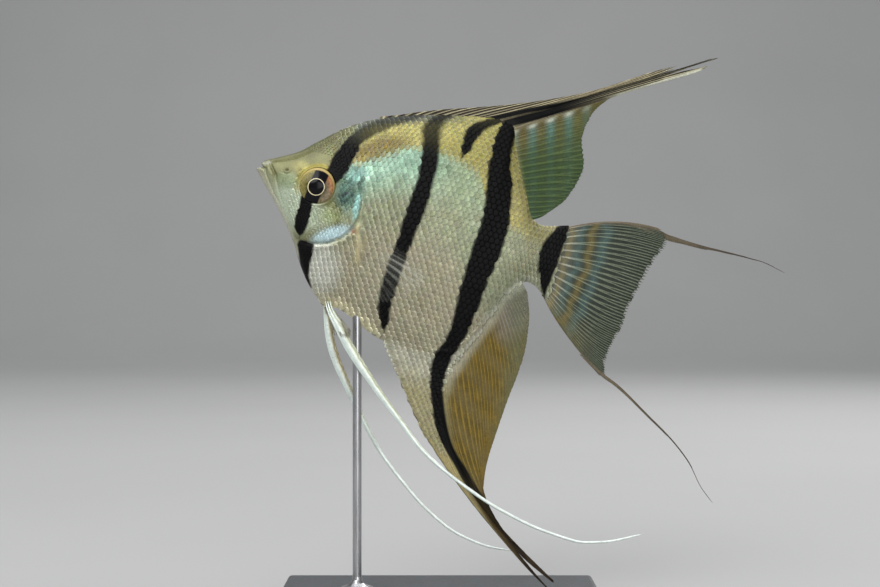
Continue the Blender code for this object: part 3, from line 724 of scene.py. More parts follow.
# Where the skin's rings lie: share of its rings, and place along the fish
SKIN_RINGS = ((0.0, 0.0), (0.02, 0.12), (0.08, 1.6), (0.62, 34.0), (1.0, BODY_LENGTH))


def skin_relief(x, z):
    """How far the head's folds and plates stand off the plain body."""
    socket = from_eye(x, z)
    rise = -1.5 * ease(4.95, 4.3, socket) + 0.28 * bump(socket - 5.35, 0.42)
    gill = from_line(x, z, GILL_EDGE)
    cover = within(x, z, HEAD_AREA)
    low = ease(6, -6, z)
    plate = np.where(cover, ease(0.0, 0.7, gill) * bump(gill, 6.0), 0.0)
    rise += (0.1 + 0.45 * low) * plate * ease(12, 20, x)
    rise -= (0.03 + 0.29 * low) * bump(gill, 0.35) * ease(12, 17, x)
    rise += 0.25 * np.where(cover, 0.0, bump(gill - 1.1, 0.6)) * low * ease(12, 17, x)
    groove = bump(from_line(x + 0.9, z - 0.3, CHEEK_FOLD), 0.5)
    rise += 0.18 * bump(from_line(x, z, CHEEK_FOLD), 0.5) - 0.12 * groove
    for line, height, width in HEAD_RIDGES:
        rise += height * bump(from_line(x, z, line), width)
    pit = np.hypot(x - NOSTRIL[0], z - NOSTRIL[1])
    return rise + (0.12 * bump(pit - 0.6, 0.25) - 0.3 * bump(pit, 0.3))


def mouth_front(z):
    """How far back the front of the mouth lies at each height: two lips and the slit between."""
    lower = 0.66 * np.clip((z + 1.0) / 0.9, 0, None) ** 3
    upper = 0.9 + 0.5 * np.clip((1.2 - z) / 0.5, 0, None) ** 1.3
    upper += 0.25 * np.clip(z - 1.2, 0, None) ** 2
    return np.minimum(np.where(z < 0.28, lower, upper), 1.95)


def make_skin():
    skin, share, turn = ball("fish_skin", 360, 210)
    x = follow(SKIN_RINGS, share)
    top, bottom, half, keel = section(x)
    z = (top + bottom) / 2 + turn[:, 0] * (top - bottom) / 2
    y = -np.sign(turn[:, 1]) * half * np.abs(turn[:, 1]) ** (2 * keel)
    level = np.stack([x, y, z], axis=1)
    set_points(skin, placed(level))
    out = turned(read_points(skin, "normal"), -PITCH)
    side_on = np.abs(out[:, 1]) ** 0.5 * ease(0.05, 0.4, np.abs(y))
    level += out * (skin_relief(x, z) * side_on)[:, None]
    level[:, 0] = np.maximum(level[:, 0], mouth_front(z) + 0.25 * x)
    set_points(skin, placed(level))
    set_values(skin, ground=ground(x, z), bar=bar_mask(x, z, 0.35), edge=np.zeros(len(x)))
    angle = np.arctan2(turn[:, 1], turn[:, 0]) / (2 * math.pi) + 0.5
    set_map(skin, "skin_map", np.stack([x / BODY_LENGTH, angle], axis=1))
    finished(skin, flesh_look("fish skin", 0.3, 0.25), "skin",
             "head", "lower_jaw", "gill_cover_left", "gill_cover_right", "trunk", "tail_stalk")


# ---------------------------------------------------------------- scales

SCALE_FACES = (4, 5)  # across and along one scale
SUNK = 0.3  # how far a scale's root lies in the flesh, as a share of its lift
SKIRT = 0.6  # how far its edge reaches down, as a share of its lift
BORDER = 0.1  # how far inside the body's outline the scales end
FIN_CORE = 0.22  # half the anal fin's thickness under its scales
ANAL_ROOT = (46.0, 79.0)  # where along the fish the anal fin grows from the belly
BAKE_PATCH = 0.0015  # half the size of one scale's patch on its map
# Steps from scale to scale: by place along the fish, and by height
STEPS_BACK = ((20, 1.15), (34, 1.45), (42, 1.65), (66, 1.6), (78, 1.2), (90, 0.95))
STEPS_DOWN = (
    (-66, 0.9), (-45, 1.1), (-32, 1.3), (-15, 1.5), (5, 1.54), (20, 1.25), (32, 0.95),
)
# The scaled part of the anal fin, and its border out on the fin
ANAL_SCALED = (
    (46.2, -36.2), (49.8, -41.2), (57.0, -50.0), (63.0, -57.0), (70.5, -64.0), (72.5, -63.0),
    (68.5, -54.5), (66.8, -48.0), (67.0, -42.0), (70.6, -31.5), (73.5, -24.1), (75.3, -16.9),
    (79.5, -11.1), (76.0, -8.0), (60.0, -20.0),
)
SCALED_BORDER = ANAL_SCALED[4:13]


def scale_pattern(across, along):
    """One scale's points: place along, -1 root to 1 tip, place across, and lift."""
    steps = np.linspace(-1, 1, along + 1), np.linspace(-1, 1, across + 1)
    a, b = np.meshgrid(*steps, indexing="ij")
    a = np.sign(a) * np.abs(a) ** 0.8
    half = np.where(a > 0, np.sqrt(np.clip(1 - (a * 0.99) ** 2, 0, 1)), 0.8 + 0.2 * (a + 1))
    wide = b * half
    lift = 0.5 + 0.5 * a - 0.2 * b * b
    return a.ravel(), wide.ravel(), lift.ravel()


def scale_faces(across, along):
    """Quads of one scale: its top, then a thin skirt down its free edge."""
    rows = across + 1
    top = [(i * rows + j, (i + 1) * rows + j, (i + 1) * rows + j + 1, i * rows + j + 1)
           for i in range(along) for j in range(across)]
    rim = [i * rows for i in range(along + 1)]
    rim += [along * rows + j for j in range(1, rows)]
    rim += [i * rows + across for i in range(along - 1, -1, -1)]
    first_low = (along + 1) * rows
    skirt = [(rim[k + 1], rim[k], first_low + k, first_low + k + 1) for k in range(len(rim) - 1)]
    return np.array(top + skirt), np.array(rim)


def brick_rows(step_back, step_down, x_range, z_range):
    """Rows of places set like bricks, from the top down."""
    places, z, odd = [], z_range[1], False
    while z > z_range[0]:
        x = x_range[0] + (0.5 * step_back(x_range[0]) if odd else 0)
        while x < x_range[1]:
            places.append((x, z))
            x += step_back(x)
        z -= step_down(z)
        odd = not odd
    return np.array(places)


def fillet(x, z):
    """Half the thickness of the flesh that runs out from the belly's edge onto the anal fin."""
    inside = z - follow(BELLY, x)
    flesh = 0.2 + 1.45 * np.exp(np.minimum(inside - 3, 0) / 2.6)
    return flesh * (inside < 3) * ease(45.0, 49.0, x) * ease(79.5, 75.5, x) * (z < 0)


def make_coat(name, side, places, size, lift, slot, look, tilt_of, sheet=None):
    """A coat of scales on one flank, or on a fin: sheet is then each place's across, along, y.

    size is each scale's (length, width), and lift is how far its free edge stands up.
    """
    tip, wide, rise = scale_pattern(*SCALE_FACES)
    faces, rim = scale_faces(*SCALE_FACES)
    count = len(places)
    tilt = tilt_of(*places.T) + RNG.normal(0, 0.04, count)
    middle = places + RNG.normal(0, 0.03, (count, 2)) * size
    half = size * (1 + RNG.normal(0, 0.03, count))[:, None] / 2
    dx, dz = tip * half[:, :1], wide * half[:, 1:]
    cos, sin = np.cos(tilt)[:, None], np.sin(tilt)[:, None]
    x = middle[:, :1] + dx * cos - dz * sin
    z = middle[:, 1:] + dx * sin + dz * cos
    stand = lift[:, None] * (rise - SUNK)
    if sheet is None:
        top, bottom = section(x, BORDER)[:2]
        over_fin = (x > ANAL_ROOT[0]) & (x < ANAL_ROOT[1]) & (z < 0)
        z = np.where(over_fin, z, np.clip(z, bottom, top))
        body = np.maximum(flank(x, z, COAT), fillet(x, z))
        y = np.maximum(body + stand + skin_relief(x, z), 0.02 + 0.2 * over_fin)
        sheet_y = 0
    else:
        y = np.maximum(FIN_CORE, fillet(x, z)) + stand
        sheet_y = sheet[2][:, None]
    level = np.stack([x, side * y + sheet_y, z], axis=-1)
    low = level[:, rim].copy()
    low[..., 1] -= side * np.minimum(SKIRT * lift[:, None], 0.8 * y[:, rim])
    points = np.concatenate([level, low], axis=1)
    per_scale = points.shape[1]
    all_faces = (faces + np.arange(count)[:, None, None] * per_scale).reshape(-1, 4)
    if side > 0:
        all_faces = all_faces[:, ::-1]
    mesh = bpy.data.meshes.new(name)
    mesh.from_pydata(placed(points.reshape(-1, 3)), [], all_faces.tolist())
    obj = bpy.data.objects.new(name, mesh)
    bpy.context.scene.collection.objects.link(obj)

    # Each scale takes its colour a quarter of its length out from its middle
    seen_x = places[:, 0] + 0.25 * size[:, 0] * np.cos(tilt)
    seen_z = places[:, 1] + 0.25 * size[:, 0] * np.sin(tilt)
    # Each scale is made brighter or darker at random: partly its own tone, partly a painted glint off
    # its silver, most on the pale zone and the gill cover
    glitter = 0.06 + 0.06 * mint_share(seen_x, seen_z) + 0.2 * spot(seen_x, seen_z, (27, 1), (8, 11))
    shine = np.clip(RNG.normal(0, 1, (count, 1)), -2, 2) * glitter[:, None]
    colour = ground(seen_x, seen_z) * (1 + shine) + RNG.normal(0, 0.005, (count, 3))
    bar_x = 0.75 * points[..., 0] + 0.25 * seen_x[:, None] + RNG.normal(0, 0.1, (count, 1))
    bar_z = 0.75 * points[..., 2] + 0.25 * seen_z[:, None]
    set_values(obj, ground=np.repeat(np.clip(colour, 0, 1), per_scale, axis=0),
               bar=bar_mask(bar_x, bar_z, 0.3).ravel())
    own = np.stack([tip, wide], axis=1)
    own = np.concatenate([own, own[rim]])
    set_map(obj, "scale_shape", np.tile(own * 0.5 + 0.5, (count, 1)))
    if sheet is None:
        top, bottom = section(seen_x, BORDER)[:2]
        share = (2 * seen_z - top - bottom) / (top - bottom)
        round_body = 0.5 + side * np.arccos(np.clip(share, -1, 1)) / (2 * math.pi)
        centre = np.stack([seen_x / BODY_LENGTH, round_body], axis=1)
    else:
        centre = np.stack([sheet[0], 0.25 * (2 + side) - 0.2 + 0.4 * sheet[1]], axis=1)
    set_map(obj, "OFBake", (centre[:, None] + own * BAKE_PATCH).reshape(-1, 2))
    finished(obj, look, slot)


def row_lean(x, z):
    """Rows of scales run level behind, and lean up towards the gill cover."""
    return 0.22 * np.clip((60 - x) / 25, 0, 1.1)


def fin_lean(x, z):
    """Rows of scales lean down on the lower part of the anal fin."""
    return -0.7 * ease(-36, -50, z)


def make_scales():
    look = flesh_look("flank scales", 0.25, 0.2, "scale_shape", 0.85)
    fine = flesh_look("cheek scales", 0.3, 0.2, "scale_shape", 0.2)

    places = brick_rows(lambda x: float(follow(STEPS_BACK, x)), lambda z: float(follow(STEPS_DOWN, z)),
                        (15.0, 88.0), (-66.0, 40.0))
    places[:, 1] -= 0.0044 * np.clip(60 - places[:, 0], 0, 45) ** 2
    x, z = places.T
    over = np.clip(z - 9, 0, 20)
    belly = follow(BELLY, x)
    size = np.stack([follow(STEPS_BACK, x) * 1.8, follow(STEPS_DOWN, z) * 1.72], axis=1)
    on_body = (z < follow(BACK, x) - 0.2) & (z > belly + 0.2)
    gill = from_line(x, z, GILL_EDGE)
    nape = (z > 0.5) & (gill < 2.6)
    keep = on_body & np.where(within(x, z, HEAD_AREA), nape, (gill > 0.7) | (z > 0.5))
    keep &= (x > 17 + 0.4 * over) & (from_line(x, z, PECTORAL_BASE) > 0.95)
    lift = 0.1 + 0.2 * ease(21, 33, x - 0.3 * over)
    border = from_line(x, z, SCALED_BORDER)
    size *= np.where(z < belly, 0.6 + 0.4 * ease(0.4, 3.4, border), 1)[:, None]
    on_fin = ~on_body & within(x, z, ANAL_SCALED) & (z < belly + 0.2)
    sheet = nearest_on(ANAL_RAYS, upright(ANAL_BEND), x[on_fin], z[on_fin])

    cheek = brick_rows(lambda x: 0.95, lambda z: 0.8, (8.0, 34.0), (-18.0, 20.0))
    x, z = cheek.T
    nape = (z > 8) & (x < 17.8 + 0.4 * np.clip(z - 9, 0, 20)) & (x > 15)
    nape &= z < follow(BACK, x) - 0.4
    on_cheek = (within(x, z, HEAD_AREA) & (from_line(x, z, GILL_EDGE) > 0.5)) | nape
    on_cheek &= (from_eye(x, z) > 6.3) & (from_line(x, z, CHEEK_FOLD) > 0.6)
    on_cheek &= (x > 11.5) & (z > follow(BELLY, x) + 3.2)
    on_cheek &= ~((x < 19) & (z > 3) & (z < 8))
    cheek = cheek[on_cheek]
    small = np.full((len(cheek), 2), (1.5, 1.35))
    low = 0.05 + 0.06 * ease(16, 22, cheek[:, 0])
    for side, word in SIDES:
        make_coat(f"scales_{word}", side, places[keep], size[keep], lift[keep], "skin", look, row_lean)
        make_coat(f"cheek_scales_{word}", side, cheek, small, low, "gill_cover", fine, row_lean)
        make_coat(f"fin_scales_{word}", side, places[on_fin], size[on_fin], 0.6 * lift[on_fin],
                  "upright_fins", look, fin_lean, sheet)


# ---------------------------------------------------------------- eyes

IRIS_SHIFT = (0.2, 0.4)  # how far forwards and down the markings lie off the ball's middle


def eye_look():
    """An eye's markings, by how far across, up and out a point lies on its map."""
    look, net = new_look("eye", 0.2, 0.1)
    split = net.add("ShaderNodeSeparateXYZ")
    net.feed(split.inputs[0], net.mapped("iris"))
    across, up = (net.math("SUBTRACT", split.outputs[axis], 0.5) for axis in "XY")
    squares = net.plus(net.times(across, across), net.times(up, up))
    reach = net.times(net.math("SQRT", squares), 2.0)
    lean = net.math("ABSOLUTE", net.plus(across, net.times(up, -0.12)))
    rear = net.plus(across, net.times(up, 0.7))
    colour = net.mix(net.ranged(across, -0.2, 0.3), paint(126, 118, 70), paint(134, 122, 98))
    colour = net.mix(net.ranged(rear, 0.32, 0.44), colour, paint(156, 110, 74))
    colour = net.shaded(colour, net.ranged(net.noise(1500, 4), 0.3, 0.7, 0.55, 1.35))
    colour = net.shaded(colour, net.ranged(reach, 0.5, 0.82, 0.45, 1.1))
    for where, start, full, tint in (
        (lean, 0.215, 0.18, paint(14, 14, 18)),  # the dark bar
        (reach, 0.9, 0.94, paint(174, 154, 98)),  # the gold rim
        (reach, 0.475, 0.455, paint(226, 214, 176)),  # the pale ring
        (reach, 0.435, 0.415, (0.003, 0.003, 0.004)),  # the pupil
    ):
        colour = net.mix(net.ranged(where, start, full), colour, tint)
    net.surface({"Base Color": colour, "Coat Roughness": 0.03, "Specular IOR Level": OWN_SHINE})
    return look


def make_eyes():
    look = eye_look()
    for side, word in SIDES:
        eye, share, turn = ball(f"eyeball_{word}", 64, 48)
        polar = share * math.pi
        dx, dz = (EYE_RADIUS * np.sin(polar) * turn.T[axis] for axis in (0, 1))
        from_middle = np.hypot(dx, dz)
        bulge = 0.22 * ease(2.5, 1.0, from_middle) - 0.12 * bump(from_middle - 3.3, 0.7)
        out = -np.cos(polar)
        depth = EYE_HALF_DEPTH * out + np.where(out > 0, bulge, 0)
        x, z = EYE_CENTRE[0] + dx, EYE_CENTRE[1] + dz
        set_points(eye, placed(np.stack([x, side * (EYE_SEAT + depth), z], axis=1)))
        outwards(eye)
        spots = np.stack([x, z], axis=1) - EYE_CENTRE + IRIS_SHIFT
        set_map(eye, "iris", spots / EYE_RADIUS / 2 + 0.5)
        finished(eye, look, "eyes", f"eye_{word}")


# ---------------------------------------------------------------- fins


def ray_points(rays, rows, along):
    """Points of a fan: rows counts rays and may lie between two, along runs from 0 to 1."""
    knots = np.arange(len(rays), dtype=float)
    values = np.array(rays, float).reshape(len(rays), -1)
    root, middle, tip = np.moveaxis(glide(knots, values, rows).reshape(*rows.shape, 3, 2), -2, 0)
    control = 2 * middle - (root + tip) / 2
    t = along[..., None]
    return (1 - t) ** 2 * root + 2 * t * (1 - t) * control + t * t * tip


def ray_mask(across, along, count, splits, width):
    """1 on a ray and 0 on the web: count rays, which split once or twice on their way out."""
    place = (across * count) % 1 - 0.5
    for start, reach in splits:
        spread = reach * ease(start, min(1.0, start + 0.5), along)
        place = np.abs(place) - spread
        width = width * (1 - 0.4 * ease(start, start + 0.3, along))
    return ease(width, width * 0.35, np.abs(place))


def make_fin(name, rays, segments, ray_count, splits, side_of, thick, look, slot, colour_of,
             nodes=(), ragged=0.3, spiny=0.0, ray_width=0.2):
    """One fin as a sheet with its rays as ribs on both faces.

    Its free edge is drawn in by ragged between rays, and by spiny between the front spines.
    """
    fin, across, along = grid(name, *segments)
    rows = across * (len(rays) - 1)
    ray = ray_mask(across, along, ray_count, splits, ray_width)
    reach = ray_points(rays, rows, np.ones(len(rows))) - ray_points(rays, rows, np.zeros(len(rows)))
    cut = RNG.uniform(0.3, 1.6, ray_count * 4 + 1)[(across * ray_count * 4).astype(int)]
    cut = ragged * cut * (1 - ray) + spiny * ease(4.4, 3.8, rows) * ((across * ray_count * 0.5) % 1)
    drawn_in = 1 - np.minimum(cut / np.linalg.norm(reach, axis=1), 0.4) * ease(0.8, 1.0, along)
    x, z = ray_points(rays, rows, along * drawn_in).T
    set_points(fin, placed(np.stack([x, side_of(x, z, across, along), z], axis=1)))
    colour, bar, edge, cover = colour_of(x, z, across, along, ray)
    set_values(fin, ground=np.clip(colour, 0, 1), bar=np.clip(bar, 0, 1), edge=edge,
               cover=np.clip(cover, 0, 1), ray=ray * ease(0.0, 0.25, cover))
    heavy = fin.vertex_groups.new(name="thickness")
    weight = np.clip((0.12 + 0.88 * ray) * (1 - 0.55 * along) + ease(0.12, 0.0, along), 0, 1)
    weight = np.round(weight, 2)
    for step in np.unique(weight):
        heavy.add(np.flatnonzero(weight == step).tolist(), float(step), "REPLACE")
    shell = fin.modifiers.new("Thickness", "SOLIDIFY")
    shell.thickness = thick * MM
    shell.offset = 0
    shell.vertex_group = heavy.name
    shell.thickness_vertex_group = 0.1
    bpy.ops.object.modifier_apply(modifier=shell.name)
    finished(fin, look, slot, *nodes)


def nearest_on(rays, side_of, x, z):
    """Where points of the side view lie on a fin: how far across, along and sideways."""
    steps = np.meshgrid(np.linspace(0, 1, 90), np.linspace(0, 1, 70))
    across, along = (step.ravel() for step in steps)
    spots = ray_points(rays, across * (len(rays) - 1), along)
    found = [int(np.argmin(np.hypot(spots[:, 0] - a, spots[:, 1] - b))) for a, b in zip(x, z)]
    return across[found], along[found], side_of(x, z, across[found], along[found])


def upright(bend):
    """An upright fin stands in the fish's middle, and the tips of its middle rays bend aside."""
    return lambda x, z, across, along: bend * along**2 * np.sin(math.pi * across)


def splayed(side):
    """A pectoral fin spreads from the flank."""
    return lambda x, z, across, along: side * (flank(x, z) + PECTORAL_SPREAD * along - 0.4)


def beside(side, spread):
    """A pelvic web stands beside the fish's middle."""
    return lambda x, z, across, along: side * (1.2 + spread * along)


def stripes(value, pitch, phase=0.0, sharp=0.35):
    return ease(0.5 - sharp, 0.5 + sharp, 0.5 + 0.5 * np.sin(2 * math.pi * (value / pitch + phase)))


def gap(row, x, middle, start, end, width):
    """1 in the slit between two strands of a fin's tip, which widens from start to end."""
    half = 0.02 + width * ease(start, end, x)
    return ease(half, half * 0.8, np.abs(row - middle)) * ease(start, start + 1, x)


# Lines of the dorsal fin: the dark band and stripe along its blade, and the pale edge below
DARK_BAND = ((63.5, 30.0), (72.5, 35.2), (82.4, 41.5), (92.3, 48.0), (102.2, 54.2))
DARK_STRIPE = (
    (57.5, 29.6), (61.8, 31.7), (69.4, 35.8), (77.1, 39.4), (87.3, 44.9), (97.1, 51.4),
    (108.0, 59.4),
)
PALE_EDGE = ((88.0, 44.0), (94.0, 47.6), (99.9, 51.4), (106.5, 55.6), (113.2, 59.8))
# Its upright teal bars: where one lies behind the snout, and the step from one to the next
TEAL_START, TEAL_STEP, TEAL_HALF_STEP = 71.9, 5.15, 2.57


def dorsal_colour(x, z, across, along, ray):
    row = across * (len(DORSAL_RAYS) - 1)
    soft = ease(7.4, 8.0, row)
    streak = stripes(row, 0.25, 0.0, 0.4) * (0.75 + 0.25 * np.sin(row * 9))
    blade = mixed(paint(58, 46, 34), paint(214, 204, 164), streak)
    olive = mixed(paint(92, 84, 46), paint(112, 104, 64), ray)
    green = mixed(paint(46, 66, 32), paint(76, 94, 52), ray)
    level = x * math.cos(PITCH) + z * math.sin(PITCH)
    off_bar = (level - TEAL_START + TEAL_HALF_STEP) % TEAL_STEP - TEAL_HALF_STEP
    teal = bump(off_bar, 1.25) * ease(98, 84, level)
    web = layered(
        olive,
        (green, ease(8.6, 11.0, row + 2.5 * along)),
        (paint(116, 98, 54), (1 - teal) * ease(11.0, 8.6, row) * 0.5),
        (paint(98, 138, 134), teal * (0.06 + 0.54 * ease(10.8, 8.6, row))),
        (paint(206, 208, 190), bump(row - 8.1, 0.45) * teal * 0.9),
        (paint(168, 158, 112), bump(along - 0.02, 0.06)),
    )
    thin = 1 - 0.6 * streak * ease(76, 96, x)
    dark = np.maximum(
        ease(1.5, 0.8, from_line(x, z, DARK_BAND)), ease(1.0, 0.4, from_line(x, z, DARK_STRIPE)))
    bar = np.maximum(dark * thin, ease(98, 110, x) * (0.9 - 0.45 * streak))
    bar = np.maximum(bar, ease(3.4, 2.4, row) * (1 - ray) * 0.75)
    pale = ease(0.75, 0.35, from_line(x, z, PALE_EDGE)) * ease(87, 94, x)
    bar = np.clip(bar, 0, 1) * (1 - pale)
    colour = layered(blade, (web, soft), (paint(196, 196, 176), pale * 0.85))
    cover = np.clip(0.96 - 0.1 * ease(9.5, 12.5, row) + 0.2 * (1 - soft) + 0.2 * bar, 0, 1)
    cover *= 1 - gap(row, x, 5.5, 103, 115, 0.3)
    cover *= 1 - ease(4.85, 4.6, row) * ease(100, 106, x)
    return colour, bar, pale * 0.3, cover


def anal_colour(x, z, across, along, ray):
    row = across * (len(ANAL_RAYS) - 1)
    mottle = stripes(0.55 * x + 0.83 * z, 6.5, 0.1, 0.5) * ease(5.5, 6.6, row)
    fleck = stripes(x * 0.94 + 0.33 * z, 2.2, 0.3) * stripes(z, 5.0, 0.3, 0.5)
    flesh = ease(3.6, 0.4, from_line(x, z, SCALED_BORDER)) * ease(5, 6, row)
    front = mixed(paint(146, 134, 88), paint(172, 162, 122), ray)
    tips = ease(0.86, 1.0, along) * ease(4.6, 4.0, row)
    deep = ease(64, 82, -z)
    colour = layered(
        paint(90, 75, 24),
        (paint(130, 108, 42), ray),
        (paint(108, 96, 58), mottle * 0.45),
        (paint(150, 122, 48), fleck * (1 - mottle) * 0.22),
        (paint(138, 138, 142), spot(x, z, (80.0, -19), (7, 13)) * 0.7 * (0.4 + 0.6 * ray)),
        (paint(158, 150, 120), bump(along, 0.1) * ease(6, 7, row) * 0.5),
        (paint(92, 98, 72), ease(10.6, 12.6, row + 2 * along) * 0.6),
        (ground(x, z), flesh * 0.75),
        (front, ease(5.4, 4.6, row)),
        (paint(70, 64, 66), tips * 0.75),
        (paint(64, 50, 32), deep * 0.9 * ease(4.0, 4.8, row)),
    )
    bar = bar_mask(x, z, 0.45) * (1 - deep * (0.15 + 0.5 * ray))
    bar = np.maximum(bar, 0.6 * ease(98, 106, x))
    cover = np.clip(0.88 - 0.2 * ease(10.5, 12.8, row) + 0.3 * bar + 0.2 * ease(6, 5, row), 0, 1)
    strand = np.minimum(np.abs(row - 5.1), np.abs(row - 5.9))
    half = 0.44 - 0.4 * ease(95, 112, x)
    cover *= 1 - ease(half, half + 0.05, strand) * ease(96, 98, x) * ease(4.4, 4.9, row)
    cover *= 1 - np.maximum(ease(6.15, 6.35, row), ease(4.85, 4.6, row)) * ease(98, 104, x)
    return colour, bar, 0 * x, cover


def caudal_colour(x, z, across, along, ray):
    pale = mixed(paint(122, 126, 112), paint(210, 212, 200), ray)
    wave = 0.012 * np.sin(across * 40) + 0.01 * np.sin(across * 17 + 2)
    ochre = bump(along + wave - 0.16, 0.03) + bump(along - wave - 0.36, 0.035)
    blue = bump(along - wave - 0.26, 0.035) + bump(along + wave - 0.47, 0.05)
    warm = ease(0.55, 0.95, across) * ease(0.9, 0.4, along)
    edge_ray = np.maximum(ease(0.05, 0.0, across), ease(0.95, 1.0, across))
    colour = layered(
        paint(40, 48, 38),
        (paint(114, 120, 102), ray),
        (pale, ease(0.3, 0.05, along) * 0.85),
        (paint(146, 126, 62), np.clip(ochre, 0, 1) * 0.38),
        (paint(108, 142, 140), np.clip(blue, 0, 1) * 0.25),
        (paint(132, 118, 70), warm * 0.4),
        (paint(122, 108, 90), edge_ray * 0.8),
    )
    bar = bar_mask(x, z, 0.5) * ease(0.16, 0.09, along + 0.03 * (1 - ray))
    return colour, bar, 0 * x, 0.93 + 0.07 * ease(0.3, 0.0, along) + 0.3 * bar


def pectoral_colour(x, z, across, along, ray):
    colour = mixed(paint(178, 180, 168), paint(184, 174, 134), ease(0.2, 0.04, along))
    streak = bump(across - 0.4, 0.13) * ease(0.25, 0.5, along)
    cover = 0.01 + 0.5 * ease(0.09, 0.0, along) + 0.04 * streak + ray * (0.03 + 0.18 * streak)
    return colour, 0 * x, 0.3 * ray, cover


def web_colour(x, z, across, along, ray):
    colour = mixed(paint(88, 82, 62), paint(196, 196, 176), ray)
    return colour, 0 * x, 0 * x, 0.5 + 0.3 * ease(0.3, 0.0, along)


def tail_thread_colour(share, turn):
    return layered(
        paint(112, 102, 82),
        (paint(72, 64, 56), ease(0.15, 0.8, share)),
        # Each strand gets darker towards its two sides: painted shade in the slits between strands
        (paint(52, 46, 38), ease(0.1, 0.9, np.abs(turn)) * 0.7),
    )


def pelvic_white(share, turn):
    return layered(
        paint(222, 230, 224),
        (paint(176, 176, 108), ease(0.1, 0.9, turn) * ease(0.55, 0.25, share) * 0.6),
        (paint(176, 206, 196), ease(-0.2, -0.9, turn) * 0.35),
    )


def pelvic_brown(share, turn):
    brown = ease(0.2, 1.0, turn) * ease(0.4, 0.2, share) * 0.8
    return mixed(pelvic_white(share, turn), paint(164, 136, 74), brown)


def along_course(course, share):
    """A course of (point, width) at each share of its length: centre, two ways off it, width."""
    points = np.array([row[0] for row in course], float)
    widths = np.array([[row[1]] for row in course], float)
    steps = np.linalg.norm(np.diff(points, axis=0), axis=1)
    knots = np.concatenate([[0], np.cumsum(steps)]) / steps.sum()
    step = 0.01
    behind = glide(knots, points, np.maximum(share - step, 0))
    ahead = glide(knots, points, np.minimum(share + step, 1)) - behind
    ahead /= np.linalg.norm(ahead, axis=1)[:, None]
    across = np.cross(ahead, (0, 1, 0))
    across /= np.linalg.norm(across, axis=1)[:, None]
    centre, width = glide(knots, points, share), glide(knots, widths, share)
    return centre, across, np.cross(ahead, across), width, steps.sum()


def thread(name, course, rings, strands, look, slot, nodes, colour_of, barbs=0.0):
    """A trailing thread as fine strands that lie side by side and end in turn.

    Each strand is its place across the thread, -1 to 1, its share of the width, where it starts
    and where it ends. barbs is how far its joints stand out behind, as a share of its width.
    """
    pieces = []
    for place, stout, start, end in strands:
        piece, share, turn = ball(name, 8, rings)
        at = start + share * (end - start)
        centre, across, deep, width, length = along_course(course, at)
        joints = (at * length / THREAD_JOINT) % 1
        thick = width * stout * (1 + barbs * joints * np.clip(turn[:, 0], 0, 1) * ease(0.45, 0.3, at))
        thick = np.maximum(thick * ease(-0.02, 0.1, share), THREAD_LEAST[0])
        thick *= np.sqrt(np.clip((1.002 - share) / 0.04, 0, 1))
        flat = np.maximum(thick * THREAD_FLATNESS, THREAD_LEAST[1])
        points = centre + across * (place * width / 2 + turn[:, 0] * thick / 2)[:, None]
        set_points(piece, placed(points + deep * (turn[:, 1] * flat / 2)[:, None]))
        none, full = np.zeros(len(at)), np.ones(len(at))
        set_values(piece, ground=np.clip(colour_of(at, turn[:, 0]), 0, 1),
                   bar=none, edge=none, cover=full, ray=full)
        pieces.append(piece)
    only(*pieces)
    bpy.ops.object.join()
    whole = added(name)
    outwards(whole)
    finished(whole, look, slot, *nodes)


def make_fins():
    upper = fin_look("upright fins", 0.97)
    tail = fin_look("tail fin", 0.95)
    clear = fin_look("pectoral fin", 0.04)
    white = flesh_look("pelvic rays", 0.12, 0.2)
    once, twice = ((0.5, 0.25),), ((0.1, 0.25), (0.4, 0.125))
    make_fin("dorsal_fin", DORSAL_RAYS, (416, 56), 52, once, upright(DORSAL_BEND), 0.5,
             upper, "upright_fins", dorsal_colour,
             ("dorsal_fin_spines", "dorsal_fin_blade", "dorsal_fin_soft"), ragged=0.25, spiny=0.7)
    make_fin("anal_fin", ANAL_RAYS, (455, 64), 65, once, upright(ANAL_BEND), 0.5,
             upper, "upright_fins", anal_colour,
             ("anal_fin_front", "anal_fin_streamer", "anal_fin_soft"), ragged=0.25, spiny=1.9)
    make_fin("tail_fin", CAUDAL_RAYS, (432, 56), 18, twice, upright(CAUDAL_BEND), 0.45,
             tail, "tail_fin", caudal_colour, ("caudal_fin",), ragged=0.9, ray_width=0.16)
    for (side, word), rays, spread in zip(SIDES, (LEFT_WEB_RAYS, RIGHT_WEB_RAYS), WEB_SPREADS):
        make_fin(f"pectoral_web_{word}", PECTORAL_RAYS, (96, 28), 12, once, splayed(side), 0.3,
                 clear, "pectoral_fins", pectoral_colour, (f"pectoral_fin_{word}",))
        make_fin(f"pelvic_web_{word}", rays, (60, 20), 5, ((0.4, 0.25),), beside(side, spread), 0.3,
                 tail, "pelvic_fins", web_colour, ragged=0.9)
    for word, course, strands in (("upper", UPPER_THREAD, UPPER_STRANDS),
                                  ("lower", LOWER_THREAD, LOWER_STRANDS)):
        thread(f"tail_thread_{word}", course, 60, strands, tail, "tail_fin",
               (f"caudal_streamer_{word}",), tail_thread_colour)
    for word, course, colour_of in (("left", LEFT_PELVIC, pelvic_white),
                                    ("right", RIGHT_PELVIC, pelvic_brown)):
        thread(f"pelvic_thread_{word}", course, 150, PELVIC_STRANDS, white, "pelvic_fins",
               (f"pelvic_fin_{word}", f"pelvic_streamer_{word}_1", f"pelvic_streamer_{word}_2"),
               colour_of, barbs=0.35)


# ---------------------------------------------------------------- stand and room

FISH_MIDDLE = (0, 0, 0.1)
WALL_FOOT = (0, 1.9, 0.2)
# The room's sheet, in metres: its width, its front edge, its floor, the curve up and the whole
ROOM_WIDTH, ROOM_FRONT, ROOM_FLOOR, ROOM_CURVE, ROOM_RUN = 9, -3.6, 5.0, 0.6, 7.0


